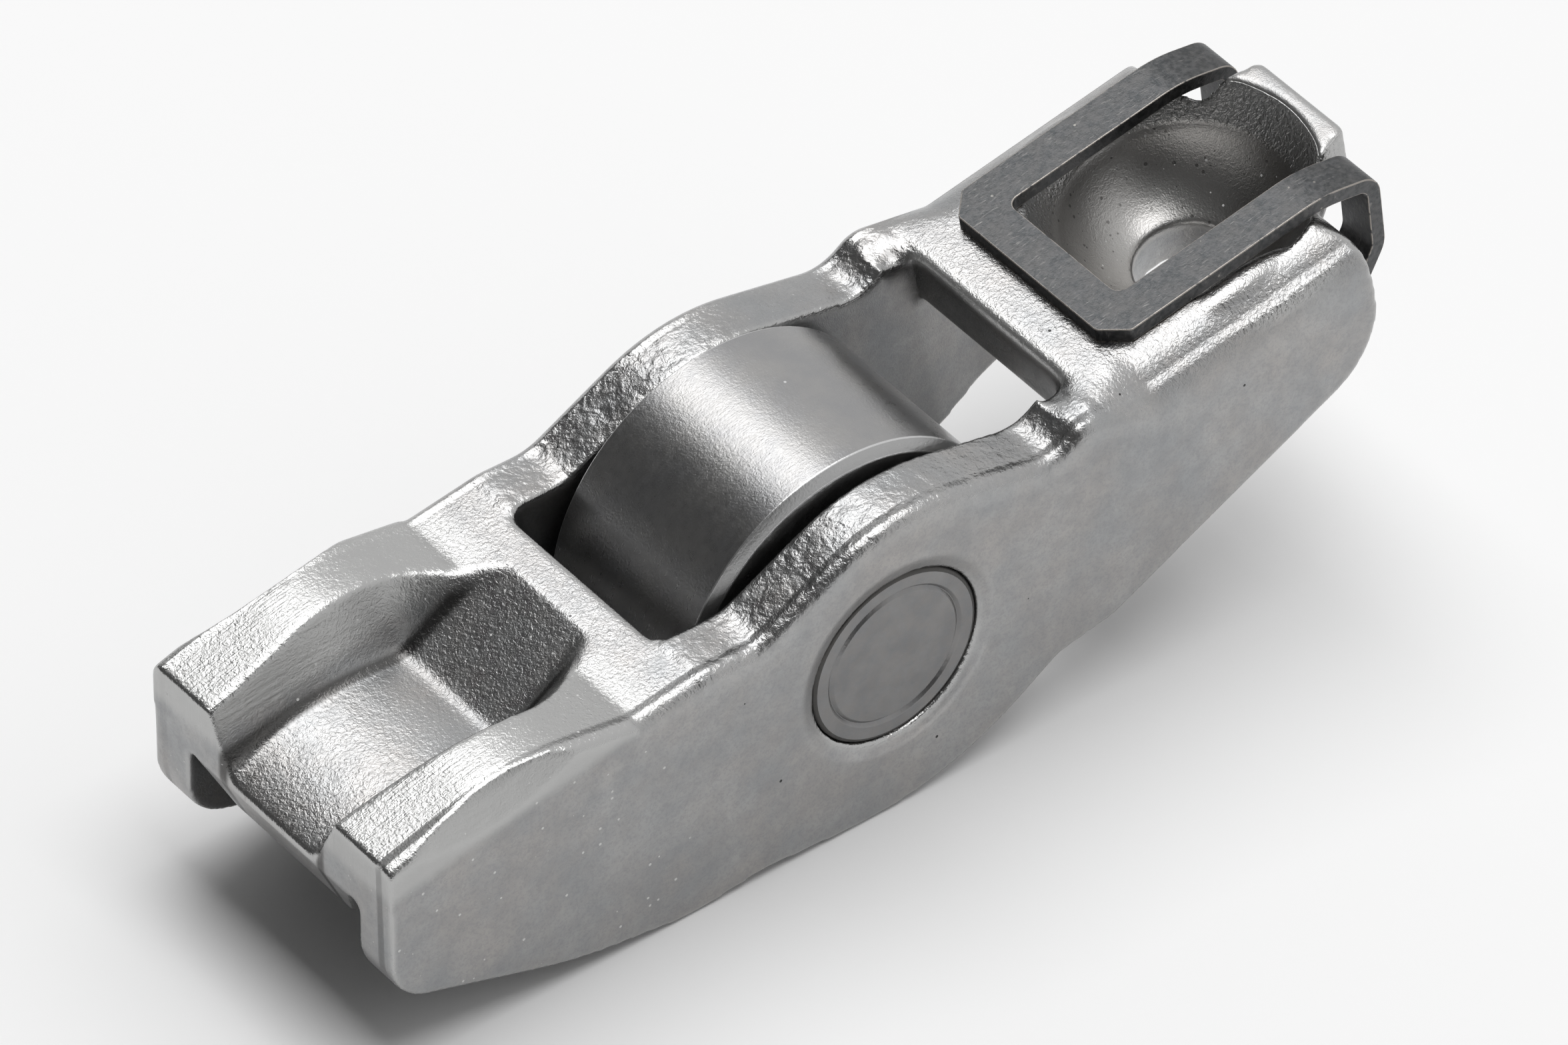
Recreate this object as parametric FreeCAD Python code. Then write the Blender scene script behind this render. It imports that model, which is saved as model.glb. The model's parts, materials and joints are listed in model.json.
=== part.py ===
import FreeCAD, Part
import math
import os

# Roller finger follower: a stamped sheet-steel rocker arm with a roller on needles, a valve pad
# at one end, a ball socket at the other and a spring clip over the socket.
# Millimetres. While it is modelled, the roller axis is the origin and lies along Y, X runs from
# the valve pad to the socket, and Z points to the side that faces the valve and the pivot.
# At the end the arm is laid down as it rests, on its roller and the knees of its walls.

Vector = FreeCAD.Vector

# Roller, needles and axle pin
ROLLER_RADIUS = 8.4
ROLLER_WIDTH = 9.2
ROLLER_BEVEL_LENGTH = 0.3
ROLLER_BEVEL_DEPTH = 0.55
PIN_RADIUS = 4.3
PIN_END_RECESS = 0.2
STAKING_RADIUS = 3.35
STAKING_WIDTH = 0.3
STAKING_DEPTH = 0.15
NEEDLE_RADIUS = 0.75
NEEDLE_CLEARANCE = 0.02
NEEDLE_SPACING = 0.06
NEEDLE_END_GAP = 0.8
COINED_RING_WIDTH = 0.7
COINED_RING_DEPTH = 0.12

# Arm: widths and walls
ROLLER_SIDE_CLEARANCE = 0.35
WALL_THICKNESS = 3.05
PAD_WALL_THICKNESS = 2.3
SOCKET_WALL_THICKNESS = 2.7
PLATE_THICKNESS = 2.7
CHANNEL_CORNER_RADIUS = 0.6
CHANNEL_HALF_WIDTH = ROLLER_WIDTH / 2 + ROLLER_SIDE_CLEARANCE
HALF_WIDTH = CHANNEL_HALF_WIDTH + WALL_THICKNESS
SOCKET_CHANNEL_HALF_WIDTH = HALF_WIDTH - SOCKET_WALL_THICKNESS

# Arm: pivot and pad, measured along the arm from the roller axis
PIVOT_DISTANCE = 22.1
PAD_DISTANCE = 21.3
TIP_BEYOND_PAD = 3.85
WALL_BEYOND_PIVOT = 3.9
TAB_LENGTH = 3.2
TIP_DISTANCE = PAD_DISTANCE + TIP_BEYOND_PAD
WALL_END = PIVOT_DISTANCE + WALL_BEYOND_PIVOT
TAB_END = WALL_END + TAB_LENGTH

# Arm: the roller's window, the bridge in front of it and the socket's plate behind it
WINDOW_FRONT_CLEARANCE = 0.85
WINDOW_REAR_CLEARANCE = 3.6
WINDOW_CORNER_RADIUS = 0.8
NOTCH_LENGTH = 1.3
NOTCH_DEPTH = 0.95
NOTCH_CORNER_RADIUS = 0.6
BRIDGE_LENGTH = 3.35
PLATE_LEAD = 0.6
PLATE_FOOT_LEAD = 0.7
SOCKET_BEND_LENGTH = 3.2
WINDOW_FRONT = ROLLER_RADIUS + WINDOW_FRONT_CLEARANCE
WINDOW_REAR = ROLLER_RADIUS + WINDOW_REAR_CLEARANCE
BRIDGE_START = WINDOW_FRONT + BRIDGE_LENGTH
PLATE_START = WINDOW_REAR - PLATE_LEAD
SOCKET_BEND_START = PLATE_START + SOCKET_BEND_LENGTH

# Arm: the upper line seen from the side, corners and roundings
TIP_HEIGHT = 7.55
RIB_CREST_BEFORE_PAD = 3.2
RIB_HEIGHT = 8.4
RIB_CREST_RADIUS = 11.0
RIB_END_RISE = 0.15
BRIDGE_HEIGHT = 6.15
BRIDGE_END = 8.6
BRIDGE_END_RADIUS = 3.0
DIP_DISTANCE = 6.2
DIP_DEPTH = 0.55
DIP_RADIUS = 2.5
ARCH_DISTANCE = 1.3
ARCH_HEIGHT = 7.93
ARCH_RADIUS = 9.0
ARCH_FOOT_DISTANCE = 9.3
ARCH_FOOT_DROP = 0.7
ARCH_FOOT_RADIUS = 2.0
PLATE_FOOT_RADIUS = 0.8
SOCKET_PLATE_HEIGHT = 5.2
PLATE_END_RADIUS = 1.8

# Arm: the lower line seen from the side, corners and roundings
NOSE_DEPTH = 1.69
NOSE_RADIUS = 3.9
SHOULDER_DEPTH = 6.16
SHOULDER_REAR = 10.6
SHOULDER_REAR_RADIUS = 1.5
SHOULDER_FRONT = 7.7
SHOULDER_FRONT_RADIUS = 2.0
LOBE_DISTANCE = 0.85
LOBE_CORNER_DROP = 0.65
LOBE_RADIUS = 14.5
HEEL_DISTANCE = 8.2
HEEL_DEPTH = 6.6
HEEL_RADIUS = 3.0
KNEE_DISTANCE = 12.0
KNEE_DEPTH = 6.3
KNEE_RADIUS = 6.0
SHIN_BEFORE_PAD = 3.7
SHIN_DEPTH = 4.33
SHIN_RADIUS = 20.0
FOOT_HEIGHT = 0.6
FOOT_RADIUS = 2.6
TIP_LEAN_ANGLE = 9.1

# Arm: bends and round edges along the top
SOCKET_BEND_RADIUS = 3.0
ARCH_EDGE_RADIUS = 0.9
RIB_EDGE_RADIUS = 0.5

# Valve pad between its guide ribs
PAD_HEIGHT = 5.3
PAD_RADIUS = 13.9
PAD_WEB_THICKNESS = 3.0
PAD_WIDTH = 6.8
PAD_WIDTH_AT_TIP = 5.7
PAD_CORNER_RADIUS = 0.7
CREASE_BEFORE_PAD = 4.95
CREASE_RADIUS = 0.8
CREASE_LIFT = 0.08
BRIDGE_LIP = 1.95
RAMP_RUN_OUT = 0.9
RAMP_HEAD_WIDTH = 5.2
RIB_FLANK_ANGLE = 25.0
RAMP_FLANK_ANGLE = 62.0
RAMP_FOOT = PAD_DISTANCE - CREASE_BEFORE_PAD
RAMP_HEAD = WINDOW_FRONT + BRIDGE_LIP

# Pad: its hidden side, the grooves under the ribs and the hollows in their outer edges
BRIDGE_INNER_RADIUS = 2.0
WALL_STEP_START = 1.6
WALL_STEP_END = 0.2
WALL_STEP_RADIUS = 1.0
GROOVE_ROOF_DROP = 0.9
GROOVE_WIDTH = 0.45
GROOVE_DEPTH = 4.0
GROOVE_LEAD = 1.0
GROOVE_CORNER_RADIUS = 0.5
WEB_UNDERCUT_ANGLE = 14.5
SCOOP_BEFORE_PAD = 2.0
SCOOP_RADIUS = 24.0
SCOOP_DEPTH = 0.75
SCOOP_FOOT_HEIGHT = 6.3
SCOOP_RIM_DROP = 0.3
GROOVE_ROOF_HEIGHT = PAD_HEIGHT - GROOVE_ROOF_DROP

# Ball socket and end tab
SEAT_RADIUS = 5.4
SEAT_CENTRE_RISE = 0.1
SEAT_RIM_RADIUS = 5.0
DISH_RADIUS = 6.3
OIL_HOLE_RADIUS = 2.2
DOME_FLOOR_THICKNESS = 2.07
DOME_FLAT_RADIUS = 3.6
DOME_FLANK_ANGLE = 36.0
TAB_THICKNESS = 2.4
TAB_WIDTH = 5.5
TAB_SHOULDER = 0.2
TAB_SHOULDER_LENGTH = 0.9
TAB_SHOULDER_RADIUS = 1.0
TAB_CORNER_RADIUS = 0.3
TAB_ROOT_RADIUS = 0.8
TAB_ROOT_LENGTH = 0.7
SLOT_WIDTH = 0.9
SLOT_CORNER_RADIUS = 0.4
SEAT_CENTRE_HEIGHT = SOCKET_PLATE_HEIGHT + SEAT_CENTRE_RISE

# Retaining clip
CLIP_THICKNESS = 0.7
CLIP_BAND_WIDTH = 1.95
CLIP_WIDTH = 11.1
CLIP_FRONT_BEFORE_PIVOT = 7.76
CLIP_CORNER_CHAMFER = 1.06
CLIP_CORNER_RADIUS = 0.3
CLIP_INNER_RADIUS = 0.5
CLIP_BEND_BEYOND_PIVOT = 2.1
CLIP_SAG_LENGTH = 1.5
CLIP_SAG_RADIUS = 6.0
CLIP_SHOULDER_DROP = 0.9
CLIP_SHOULDER_LEAN = 0.15
CLIP_SHOULDER_RADIUS = 0.9
CLIP_REACH = 2.5
CLIP_KNEE_HEIGHT = 1.0
CLIP_KNEE_RADIUS = 1.2
CLIP_HOOK_DEPTH = 2.3
CLIP_HOOK_RETURN = 0.3
CLIP_LEG_CLEARANCE = 0.15
CLIP_FRONT = PIVOT_DISTANCE - CLIP_FRONT_BEFORE_PIVOT
CLIP_BEND_START = PIVOT_DISTANCE + CLIP_BEND_BEYOND_PIVOT

# How far a cutting tool runs past what it cuts, and a length beyond everything
PAST = 1.0
BEYOND = 40.0


def side(x, z):
    return Vector(x, 0, z)


def plan(x, y):
    return Vector(x, y, 0)


def section(y, z):
    return Vector(0, y, z)


def outline(corners, place):
    """A closed wire through corners of (first, second, radius), each rounded by its radius."""
    points = [place(first, second) for first, second, radius in corners]
    count = len(points)
    rounds = []
    for index, point in enumerate(points):
        radius = corners[index][2]
        back = (points[index - 1] - point).normalize()
        ahead = (points[(index + 1) % count] - point).normalize()
        if radius == 0:
            rounds.append((point, None, point))
            continue
        half = back.getAngle(ahead) / 2
        trim = radius / math.tan(half)
        inward = (back + ahead).normalize()
        middle = point + inward * (radius / math.sin(half) - radius)
        rounds.append((point + back * trim, middle, point + ahead * trim))
    edges = []
    for index, (start, middle, end) in enumerate(rounds):
        if middle:
            edges.append(Part.Arc(start, middle, end).toShape())
        following = rounds[(index + 1) % count][0]
        if end.distanceToPoint(following) > 1e-4:
            edges.append(Part.LineSegment(end, following).toShape())
    return Part.Wire(edges)


def across(corners, half_width):
    """A side outline made solid over the width, from -half_width to half_width."""
    wire = outline(corners, side)
    wire.translate(Vector(0, -half_width, 0))
    return Part.Face(wire).extrude(Vector(0, 2 * half_width, 0))


def upright(corners, bottom, top):
    """A plan outline made solid between two heights."""
    wire = outline(corners, plan)
    wire.translate(Vector(0, 0, bottom))
    return Part.Face(wire).extrude(Vector(0, 0, top - bottom))


def lengthwise(corners, start, end):
    """A cross-section outline made solid between two places along the arm."""
    wire = outline(corners, section)
    wire.translate(Vector(start, 0, 0))
    return Part.Face(wire).extrude(Vector(end - start, 0, 0))


def mirrored(corners):
    """A plan or section outline completed with its mirror image over the middle of the arm."""
    return corners + [(first, -second, radius) for first, second, radius in reversed(corners)]


def slab(start, end):
    """A block that holds everything between two places along the arm."""
    return Part.makeBox(end - start, 2 * BEYOND, 2 * BEYOND, Vector(start, -BEYOND, -BEYOND))


def leaning(height, angle):
    """How far a line that leans by an angle goes sideways over a height."""
    return height * math.tan(math.radians(angle))


def side_silhouette():
    """The arm's outline seen from the side, from the rib tip over the top and back below."""
    foot = TIP_DISTANCE + leaning(TIP_HEIGHT - FOOT_HEIGHT, TIP_LEAN_ANGLE)
    return [
        (-TIP_DISTANCE, TIP_HEIGHT, 0),
        (-PAD_DISTANCE + RIB_CREST_BEFORE_PAD, RIB_HEIGHT, RIB_CREST_RADIUS),
        (-BRIDGE_START, BRIDGE_HEIGHT + RIB_END_RISE, 0),
        (-BRIDGE_END, BRIDGE_HEIGHT, BRIDGE_END_RADIUS),
        (-DIP_DISTANCE, BRIDGE_HEIGHT - DIP_DEPTH, DIP_RADIUS),
        (ARCH_DISTANCE, ARCH_HEIGHT, ARCH_RADIUS),
        (ARCH_FOOT_DISTANCE, SOCKET_PLATE_HEIGHT - ARCH_FOOT_DROP, ARCH_FOOT_RADIUS),
        (PLATE_START - PLATE_FOOT_LEAD, SOCKET_PLATE_HEIGHT, PLATE_FOOT_RADIUS),
        (WALL_END, SOCKET_PLATE_HEIGHT, PLATE_END_RADIUS),
        (WALL_END, -NOSE_DEPTH, NOSE_RADIUS),
        (SHOULDER_REAR, -SHOULDER_DEPTH, SHOULDER_REAR_RADIUS),
        (SHOULDER_FRONT, -SHOULDER_DEPTH, SHOULDER_FRONT_RADIUS),
        (LOBE_DISTANCE, -ROLLER_RADIUS - LOBE_CORNER_DROP, LOBE_RADIUS),
        (-HEEL_DISTANCE, -HEEL_DEPTH, HEEL_RADIUS),
        (-KNEE_DISTANCE, -KNEE_DEPTH, KNEE_RADIUS),
        (-PAD_DISTANCE + SHIN_BEFORE_PAD, -SHIN_DEPTH, SHIN_RADIUS),
        (-foot, FOOT_HEIGHT, FOOT_RADIUS),
    ]


def top_outer_edges(solid):
    """The long edges along the top of both outer faces."""
    found = []
    lowest = SOCKET_PLATE_HEIGHT - 2 * ARCH_EDGE_RADIUS
    for edge in solid.Edges:
        box = edge.BoundBox
        on_face = box.YLength < 1e-3 and abs(abs(box.YMin) - HALF_WIDTH) < 1e-3
        if on_face and box.XLength > ARCH_EDGE_RADIUS / 20 and box.ZMin > lowest:
            found.append(edge)
    return found


def bend_section(x, radius):
    """The socket end's outer cross-section, with a bend radius of its own at each place."""
    wire = outline([
        (-HALF_WIDTH, -BEYOND, 0),
        (-HALF_WIDTH, SOCKET_PLATE_HEIGHT, radius),
        (HALF_WIDTH, SOCKET_PLATE_HEIGHT, radius),
        (HALF_WIDTH, -BEYOND, 0),
    ], section)
    wire.translate(Vector(x, 0, 0))
    return wire


def bent_channel():
    """The folded channel round the socket, whose bends grow from the arches' edge to full size."""
    sections = [
        bend_section(PLATE_START, ARCH_EDGE_RADIUS),
        bend_section(SOCKET_BEND_START, SOCKET_BEND_RADIUS),
    ]
    growing = Part.makeLoft(sections, True, True)
    full = Part.Face(sections[-1]).extrude(Vector(BEYOND, 0, 0))
    return growing.fuse(full)


def blank():
    """The outer form of the stamping, with its bent and rounded upper edges."""
    whole = across(side_silhouette(), HALF_WIDTH)
    ribs = whole.common(slab(-BEYOND, -BRIDGE_START))
    arches = whole.common(slab(-BRIDGE_START, PLATE_START))
    socket_end = whole.common(slab(PLATE_START, BEYOND))
    ribs = ribs.makeFillet(RIB_EDGE_RADIUS, top_outer_edges(ribs))
    arches = arches.makeFillet(ARCH_EDGE_RADIUS, top_outer_edges(arches))
    socket_end = socket_end.common(bent_channel())
    return ribs.fuse([arches, socket_end])


def pad_height(x):
    """Height of the pad's arch or of its ramp at a distance in front of the roller axis."""
    if x > RAMP_FOOT:
        return PAD_HEIGHT - PAD_RADIUS + math.sqrt(PAD_RADIUS ** 2 - (x - PAD_DISTANCE) ** 2)
    foot = PAD_HEIGHT - PAD_RADIUS + math.sqrt(PAD_RADIUS ** 2 - CREASE_BEFORE_PAD ** 2)
    return foot + (RAMP_FOOT - x) * (BRIDGE_HEIGHT - foot) / (RAMP_FOOT - RAMP_HEAD)


def share_of_ramp(x):
    """0 on the pad and at the ramp's foot, growing to 1 at the ramp's head."""
    return max(0.0, (RAMP_FOOT - x) / (RAMP_FOOT - RAMP_HEAD))


def pocket_width(x):
    """Width of the pad or the ramp between the ribs, narrower towards the tip and the ramp's head."""
    if x > RAMP_FOOT:
        share = (x - RAMP_FOOT) / (TIP_DISTANCE - RAMP_FOOT)
        return PAD_WIDTH + (PAD_WIDTH_AT_TIP - PAD_WIDTH) * share ** 2
    return PAD_WIDTH + (RAMP_HEAD_WIDTH - PAD_WIDTH) * share_of_ramp(x)


def pocket_section(x, lift=0.0):
    """The pocket's cross-section: pad surface, round corners and the ribs' leaning flanks."""
    floor = pad_height(x) + lift
    top = RIB_HEIGHT + PAST
    half = pocket_width(x) / 2
    angle = RIB_FLANK_ANGLE + (RAMP_FLANK_ANGLE - RIB_FLANK_ANGLE) * share_of_ramp(x)
    mouth = half + leaning(top - floor, angle)
    wire = outline([
        (-mouth, top, 0),
        (-half, floor, PAD_CORNER_RADIUS),
        (half, floor, PAD_CORNER_RADIUS),
        (mouth, top, 0),
    ], section)
    wire.translate(Vector(-x, 0, 0))
    return wire


def spread(start, end, count):
    """Evenly spaced places from a start to an end."""
    return [start + (end - start) * index / (count - 1) for index in range(count)]


def pad_pocket():
    """The room over the arched pad and its ramp, between the inner flanks of the ribs."""
    before_crease = RAMP_FOOT + CREASE_RADIUS / 2
    after_crease = RAMP_FOOT - CREASE_RADIUS / 2
    arch = [pocket_section(x) for x in spread(TIP_DISTANCE + 3 * PAST, before_crease, 5)]
    ramp = [pocket_section(x) for x in spread(after_crease, RAMP_HEAD - RAMP_RUN_OUT, 4)]
    crease = [arch[-1], pocket_section(RAMP_FOOT, CREASE_LIFT), ramp[0]]
    rooms = [Part.makeLoft(wires, True, False) for wires in (arch, crease, ramp)]
    return rooms[0].fuse(rooms[1:])


def web_underside():
    """The side line of the pad web's underside, the arch and the ramp less the web's thickness."""
    slope = math.asin(CREASE_BEFORE_PAD / PAD_RADIUS)
    crown = PAD_HEIGHT + PAD_RADIUS * (1 / math.cos(slope) - 1) - PAD_WEB_THICKNESS / math.cos(slope)
    to_tip = 2 * TIP_BEYOND_PAD
    return [
        (-PAD_DISTANCE - to_tip, crown - to_tip * math.tan(slope), 0),
        (-PAD_DISTANCE, crown, PAD_RADIUS - PAD_WEB_THICKNESS),
        (-RAMP_FOOT, crown - CREASE_BEFORE_PAD * math.tan(slope), CREASE_RADIUS),
    ]


def pad_underside():
    """The room under the pad's web, and the grooves between the ribs' folds and the walls."""
    arch = web_underside()
    bridge_underside = BRIDGE_HEIGHT - PLATE_THICKNESS
    window = -WINDOW_FRONT + PAST
    under_web = arch + [
        (-RAMP_HEAD, bridge_underside, BRIDGE_INNER_RADIUS),
        (window, bridge_underside, 0),
        (window, -BEYOND, 0),
        (arch[0][0], -BEYOND, 0),
    ]
    inside = HALF_WIDTH - PAD_WALL_THICKNESS
    cavity_plan = [
        (-BEYOND, inside, 0),
        (-BRIDGE_START - WALL_STEP_START, inside, WALL_STEP_RADIUS),
        (-BRIDGE_START - WALL_STEP_END, CHANNEL_HALF_WIDTH, WALL_STEP_RADIUS),
        (window, CHANNEL_HALF_WIDTH, 0),
    ]
    cavity = across(under_web, HALF_WIDTH)
    cavity = cavity.common(upright(mirrored(cavity_plan), -BEYOND, BEYOND))
    groove_inner = inside - GROOVE_WIDTH
    foot = GROOVE_ROOF_HEIGHT - GROOVE_DEPTH
    groove = [
        (inside, foot, 0),
        (inside, GROOVE_ROOF_HEIGHT - GROOVE_CORNER_RADIUS, GROOVE_CORNER_RADIUS),
        (groove_inner, GROOVE_ROOF_HEIGHT, GROOVE_CORNER_RADIUS / 2),
        (groove_inner - leaning(GROOVE_DEPTH, RIB_FLANK_ANGLE), foot, 0),
    ]
    grooves = []
    for hand in (1, -1):
        corners = [(hand * y, z, radius) for y, z, radius in groove]
        grooves.append(lengthwise(corners, -BEYOND, -BRIDGE_START - GROOVE_LEAD))
    return cavity.fuse(grooves)


def web_end_undercut():
    """Trims the end of the pad's web and folds, which leans back under the tip."""
    top = GROOVE_ROOF_HEIGHT
    end = TIP_DISTANCE + leaning(TIP_HEIGHT - top, TIP_LEAN_ANGLE)
    depth = 2 * PAD_WEB_THICKNESS
    return across([
        (-end, top, 0),
        (-end + leaning(depth, WEB_UNDERCUT_ANGLE), top - depth, 0),
        (-end - depth, top - depth, 0),
        (-end - depth, top, 0),
    ], HALF_WIDTH - PAD_WALL_THICKNESS)


def rib_scoops():
    """Conical hollows that draw in the outer edge of each rib at its crest."""
    height = RIB_HEIGHT + PAST - SCOOP_FOOT_HEIGHT
    growth = SCOOP_DEPTH / (RIB_HEIGHT - SCOOP_RIM_DROP - SCOOP_FOOT_HEIGHT) * height
    place = -PAD_DISTANCE + SCOOP_BEFORE_PAD
    scoops = []
    for hand in (1, -1):
        centre = Vector(place, hand * (HALF_WIDTH + SCOOP_RADIUS), SCOOP_FOOT_HEIGHT)
        scoops.append(Part.makeCone(SCOOP_RADIUS, SCOOP_RADIUS + growth, height, centre))
    return scoops


def roller_window():
    """The opening for the roller, with relief notches in the walls at its rear corners."""
    through = upright(mirrored([
        (-WINDOW_FRONT, CHANNEL_HALF_WIDTH, WINDOW_CORNER_RADIUS),
        (WINDOW_REAR, CHANNEL_HALF_WIDTH, 0),
    ]), -BEYOND, BEYOND)
    outer = CHANNEL_HALF_WIDTH + NOTCH_DEPTH
    notch = upright(mirrored([
        (WINDOW_REAR - NOTCH_LENGTH, outer, NOTCH_CORNER_RADIUS),
        (WINDOW_REAR, outer, NOTCH_CORNER_RADIUS),
    ]), SOCKET_PLATE_HEIGHT - PLATE_THICKNESS, BEYOND)
    return through.fuse(notch)


def seat_height(radius):
    """Height of the spherical seat at a distance from the pivot's axis."""
    return SEAT_CENTRE_HEIGHT - math.sqrt(SEAT_RADIUS ** 2 - radius ** 2)


def socket_hollow():
    """The conical dish, the spherical seat below it and the oil hole."""
    rim = seat_height(SEAT_RIM_RADIUS)
    flare = (DISH_RADIUS - SEAT_RIM_RADIUS) / (SOCKET_PLATE_HEIGHT - rim)
    top = SOCKET_PLATE_HEIGHT + PAST
    middle = (OIL_HOLE_RADIUS + SEAT_RIM_RADIUS) / 2
    spots = [
        Vector(PIVOT_DISTANCE + SEAT_RIM_RADIUS, 0, rim),
        Vector(PIVOT_DISTANCE + DISH_RADIUS + PAST * flare, 0, top),
        Vector(PIVOT_DISTANCE, 0, top),
        Vector(PIVOT_DISTANCE, 0, -BEYOND),
        Vector(PIVOT_DISTANCE + OIL_HOLE_RADIUS, 0, -BEYOND),
        Vector(PIVOT_DISTANCE + OIL_HOLE_RADIUS, 0, seat_height(OIL_HOLE_RADIUS)),
    ]
    on_seat = Vector(PIVOT_DISTANCE + middle, 0, seat_height(middle))
    seat = Part.Arc(spots[-1], on_seat, spots[0]).toShape()
    face = Part.Face(Part.Wire(Part.makePolygon(spots).Edges + [seat]))
    return face.revolve(Vector(PIVOT_DISTANCE, 0, 0), Vector(0, 0, 1), 360)


def leg_inner_half():
    """Half the room between the clip's legs, where the end tab passes."""
    return CLIP_WIDTH / 2 - CLIP_BAND_WIDTH


def end_plan():
    """The plan of the socket end: walls, the slots for the clip's legs, and the tab."""
    root = leg_inner_half() - CLIP_LEG_CLEARANCE
    half = [
        (-BEYOND, BEYOND, 0),
        (WALL_END, BEYOND, 0),
        (WALL_END, root + SLOT_WIDTH, SLOT_CORNER_RADIUS),
        (WALL_END + TAB_ROOT_LENGTH, root, TAB_ROOT_RADIUS),
        (TAB_END - TAB_SHOULDER_LENGTH, TAB_WIDTH / 2 + TAB_SHOULDER, TAB_SHOULDER_RADIUS),
        (TAB_END, TAB_WIDTH / 2, TAB_CORNER_RADIUS),
    ]
    return upright(mirrored(half), -BEYOND, BEYOND)


def channel_section(x, half_width):
    """The cross-section of the room between the walls, under the plates."""
    roof = SOCKET_PLATE_HEIGHT - PLATE_THICKNESS
    wire = outline([
        (-half_width, -BEYOND, 0),
        (-half_width, roof, CHANNEL_CORNER_RADIUS),
        (half_width, roof, CHANNEL_CORNER_RADIUS),
        (half_width, -BEYOND, 0),
    ], section)
    wire.translate(Vector(x, 0, 0))
    return wire


def channel():
    """The room between the walls from the window to the end, wider beside the socket's dome."""
    front = channel_section(-WINDOW_FRONT, CHANNEL_HALF_WIDTH)
    rear = channel_section(WINDOW_REAR, CHANNEL_HALF_WIDTH)
    wide = channel_section(SOCKET_BEND_START, SOCKET_CHANNEL_HALF_WIDTH)
    room = Part.Face(front).extrude(Vector(WINDOW_FRONT + WINDOW_REAR, 0, 0))
    widening = Part.makeLoft([rear, wide], True, True)
    beside_dome = Part.Face(wide).extrude(Vector(BEYOND, 0, 0))
    return room.fuse([widening, beside_dome])


def socket_dome():
    """The drawn dome around the seat on the hidden side, and the end tab over it."""
    floor = seat_height(OIL_HOLE_RADIUS) - DOME_FLOOR_THICKNESS
    depth = SOCKET_PLATE_HEIGHT - PLATE_THICKNESS / 2 - floor
    wide = DOME_FLAT_RADIUS + leaning(depth, DOME_FLANK_ANGLE)
    dome = Part.makeCone(DOME_FLAT_RADIUS, wide, depth, Vector(PIVOT_DISTANCE, 0, floor))
    half = HALF_WIDTH - SOCKET_WALL_THICKNESS / 2
    keep = Part.makeBox(2 * wide, 2 * half, depth, Vector(PIVOT_DISTANCE - wide, -half, floor))
    tab_half = leg_inner_half() + PAST
    tab_place = Vector(PIVOT_DISTANCE, -tab_half, SOCKET_PLATE_HEIGHT - TAB_THICKNESS)
    tab = Part.makeBox(TAB_END + PAST - PIVOT_DISTANCE, 2 * tab_half, TAB_THICKNESS, tab_place)
    return dome.common(keep).fuse(tab)


def pin_holes():
    """The hole for the pin through both walls, and the shallow coined rings around it."""
    tools = [Part.makeCylinder(PIN_RADIUS, 2 * BEYOND, Vector(0, -BEYOND, 0), Vector(0, 1, 0))]
    ring = PIN_RADIUS + COINED_RING_WIDTH
    for hand in (1, -1):
        face = Vector(0, hand * HALF_WIDTH, 0)
        tools.append(Part.makeCone(ring, PIN_RADIUS, COINED_RING_DEPTH, face, Vector(0, -hand, 0)))
    return tools


def arm_body():
    """The stamped arm, one piece of folded sheet steel."""
    body = blank()
    body = body.cut([channel(), roller_window(), pad_underside(), web_end_undercut()])
    body = body.fuse(socket_dome())
    body = body.common(end_plan())
    body = body.cut([socket_hollow(), pad_pocket()] + rib_scoops() + pin_holes())
    return body.removeSplitter()


def revolved(corners, place):
    """A ring or rod turned about the Y axis from an outline of (along, radius, rounding)."""
    return Part.Face(outline(corners, place)).revolve(Vector(0, 0, 0), Vector(0, 1, 0), 360)


def turning(along, radius):
    return Vector(radius, along, 0)


def both_ends(end):
    """The outline of one end of a turned piece, completed with its mirror image at the other."""
    return end + [(-along, radius, rounding) for along, radius, rounding in reversed(end)]


def needle_circle():
    """Radius of the circle that the needles' own axes lie on."""
    return PIN_RADIUS + NEEDLE_CLEARANCE + NEEDLE_RADIUS


def needle_count():
    """How many needles fit round the pin with a little room between neighbours."""
    share = math.asin((NEEDLE_RADIUS + NEEDLE_SPACING / 2) / needle_circle())
    return math.floor(math.pi / share)


def roller():
    """The hardened roller, ground straight, with bevelled rims and a bore for the needles."""
    half = ROLLER_WIDTH / 2
    bore = needle_circle() + NEEDLE_RADIUS + NEEDLE_CLEARANCE
    return revolved(both_ends([
        (half, bore, 0),
        (half, ROLLER_RADIUS - ROLLER_BEVEL_DEPTH, 0),
        (half - ROLLER_BEVEL_LENGTH, ROLLER_RADIUS, 0),
    ]), turning)


def axle_pin():
    """The pin through both walls, with a staking groove in each end."""
    half = HALF_WIDTH - PIN_END_RECESS
    return revolved(both_ends([
        (half, 0, 0),
        (half, STAKING_RADIUS - STAKING_WIDTH / 2, 0),
        (half - STAKING_DEPTH, STAKING_RADIUS, 0),
        (half, STAKING_RADIUS + STAKING_WIDTH / 2, 0),
        (half, PIN_RADIUS, 0),
    ]), turning)


def needle(index):
    """One of the loose needles, in its place around the pin."""
    length = ROLLER_WIDTH - 2 * NEEDLE_END_GAP
    end = Vector(needle_circle(), -length / 2, 0)
    body = Part.makeCylinder(NEEDLE_RADIUS, length, end, Vector(0, 1, 0))
    body.rotate(Vector(0, 0, 0), Vector(0, 1, 0), index * 360 / needle_count())
    return body


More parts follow.
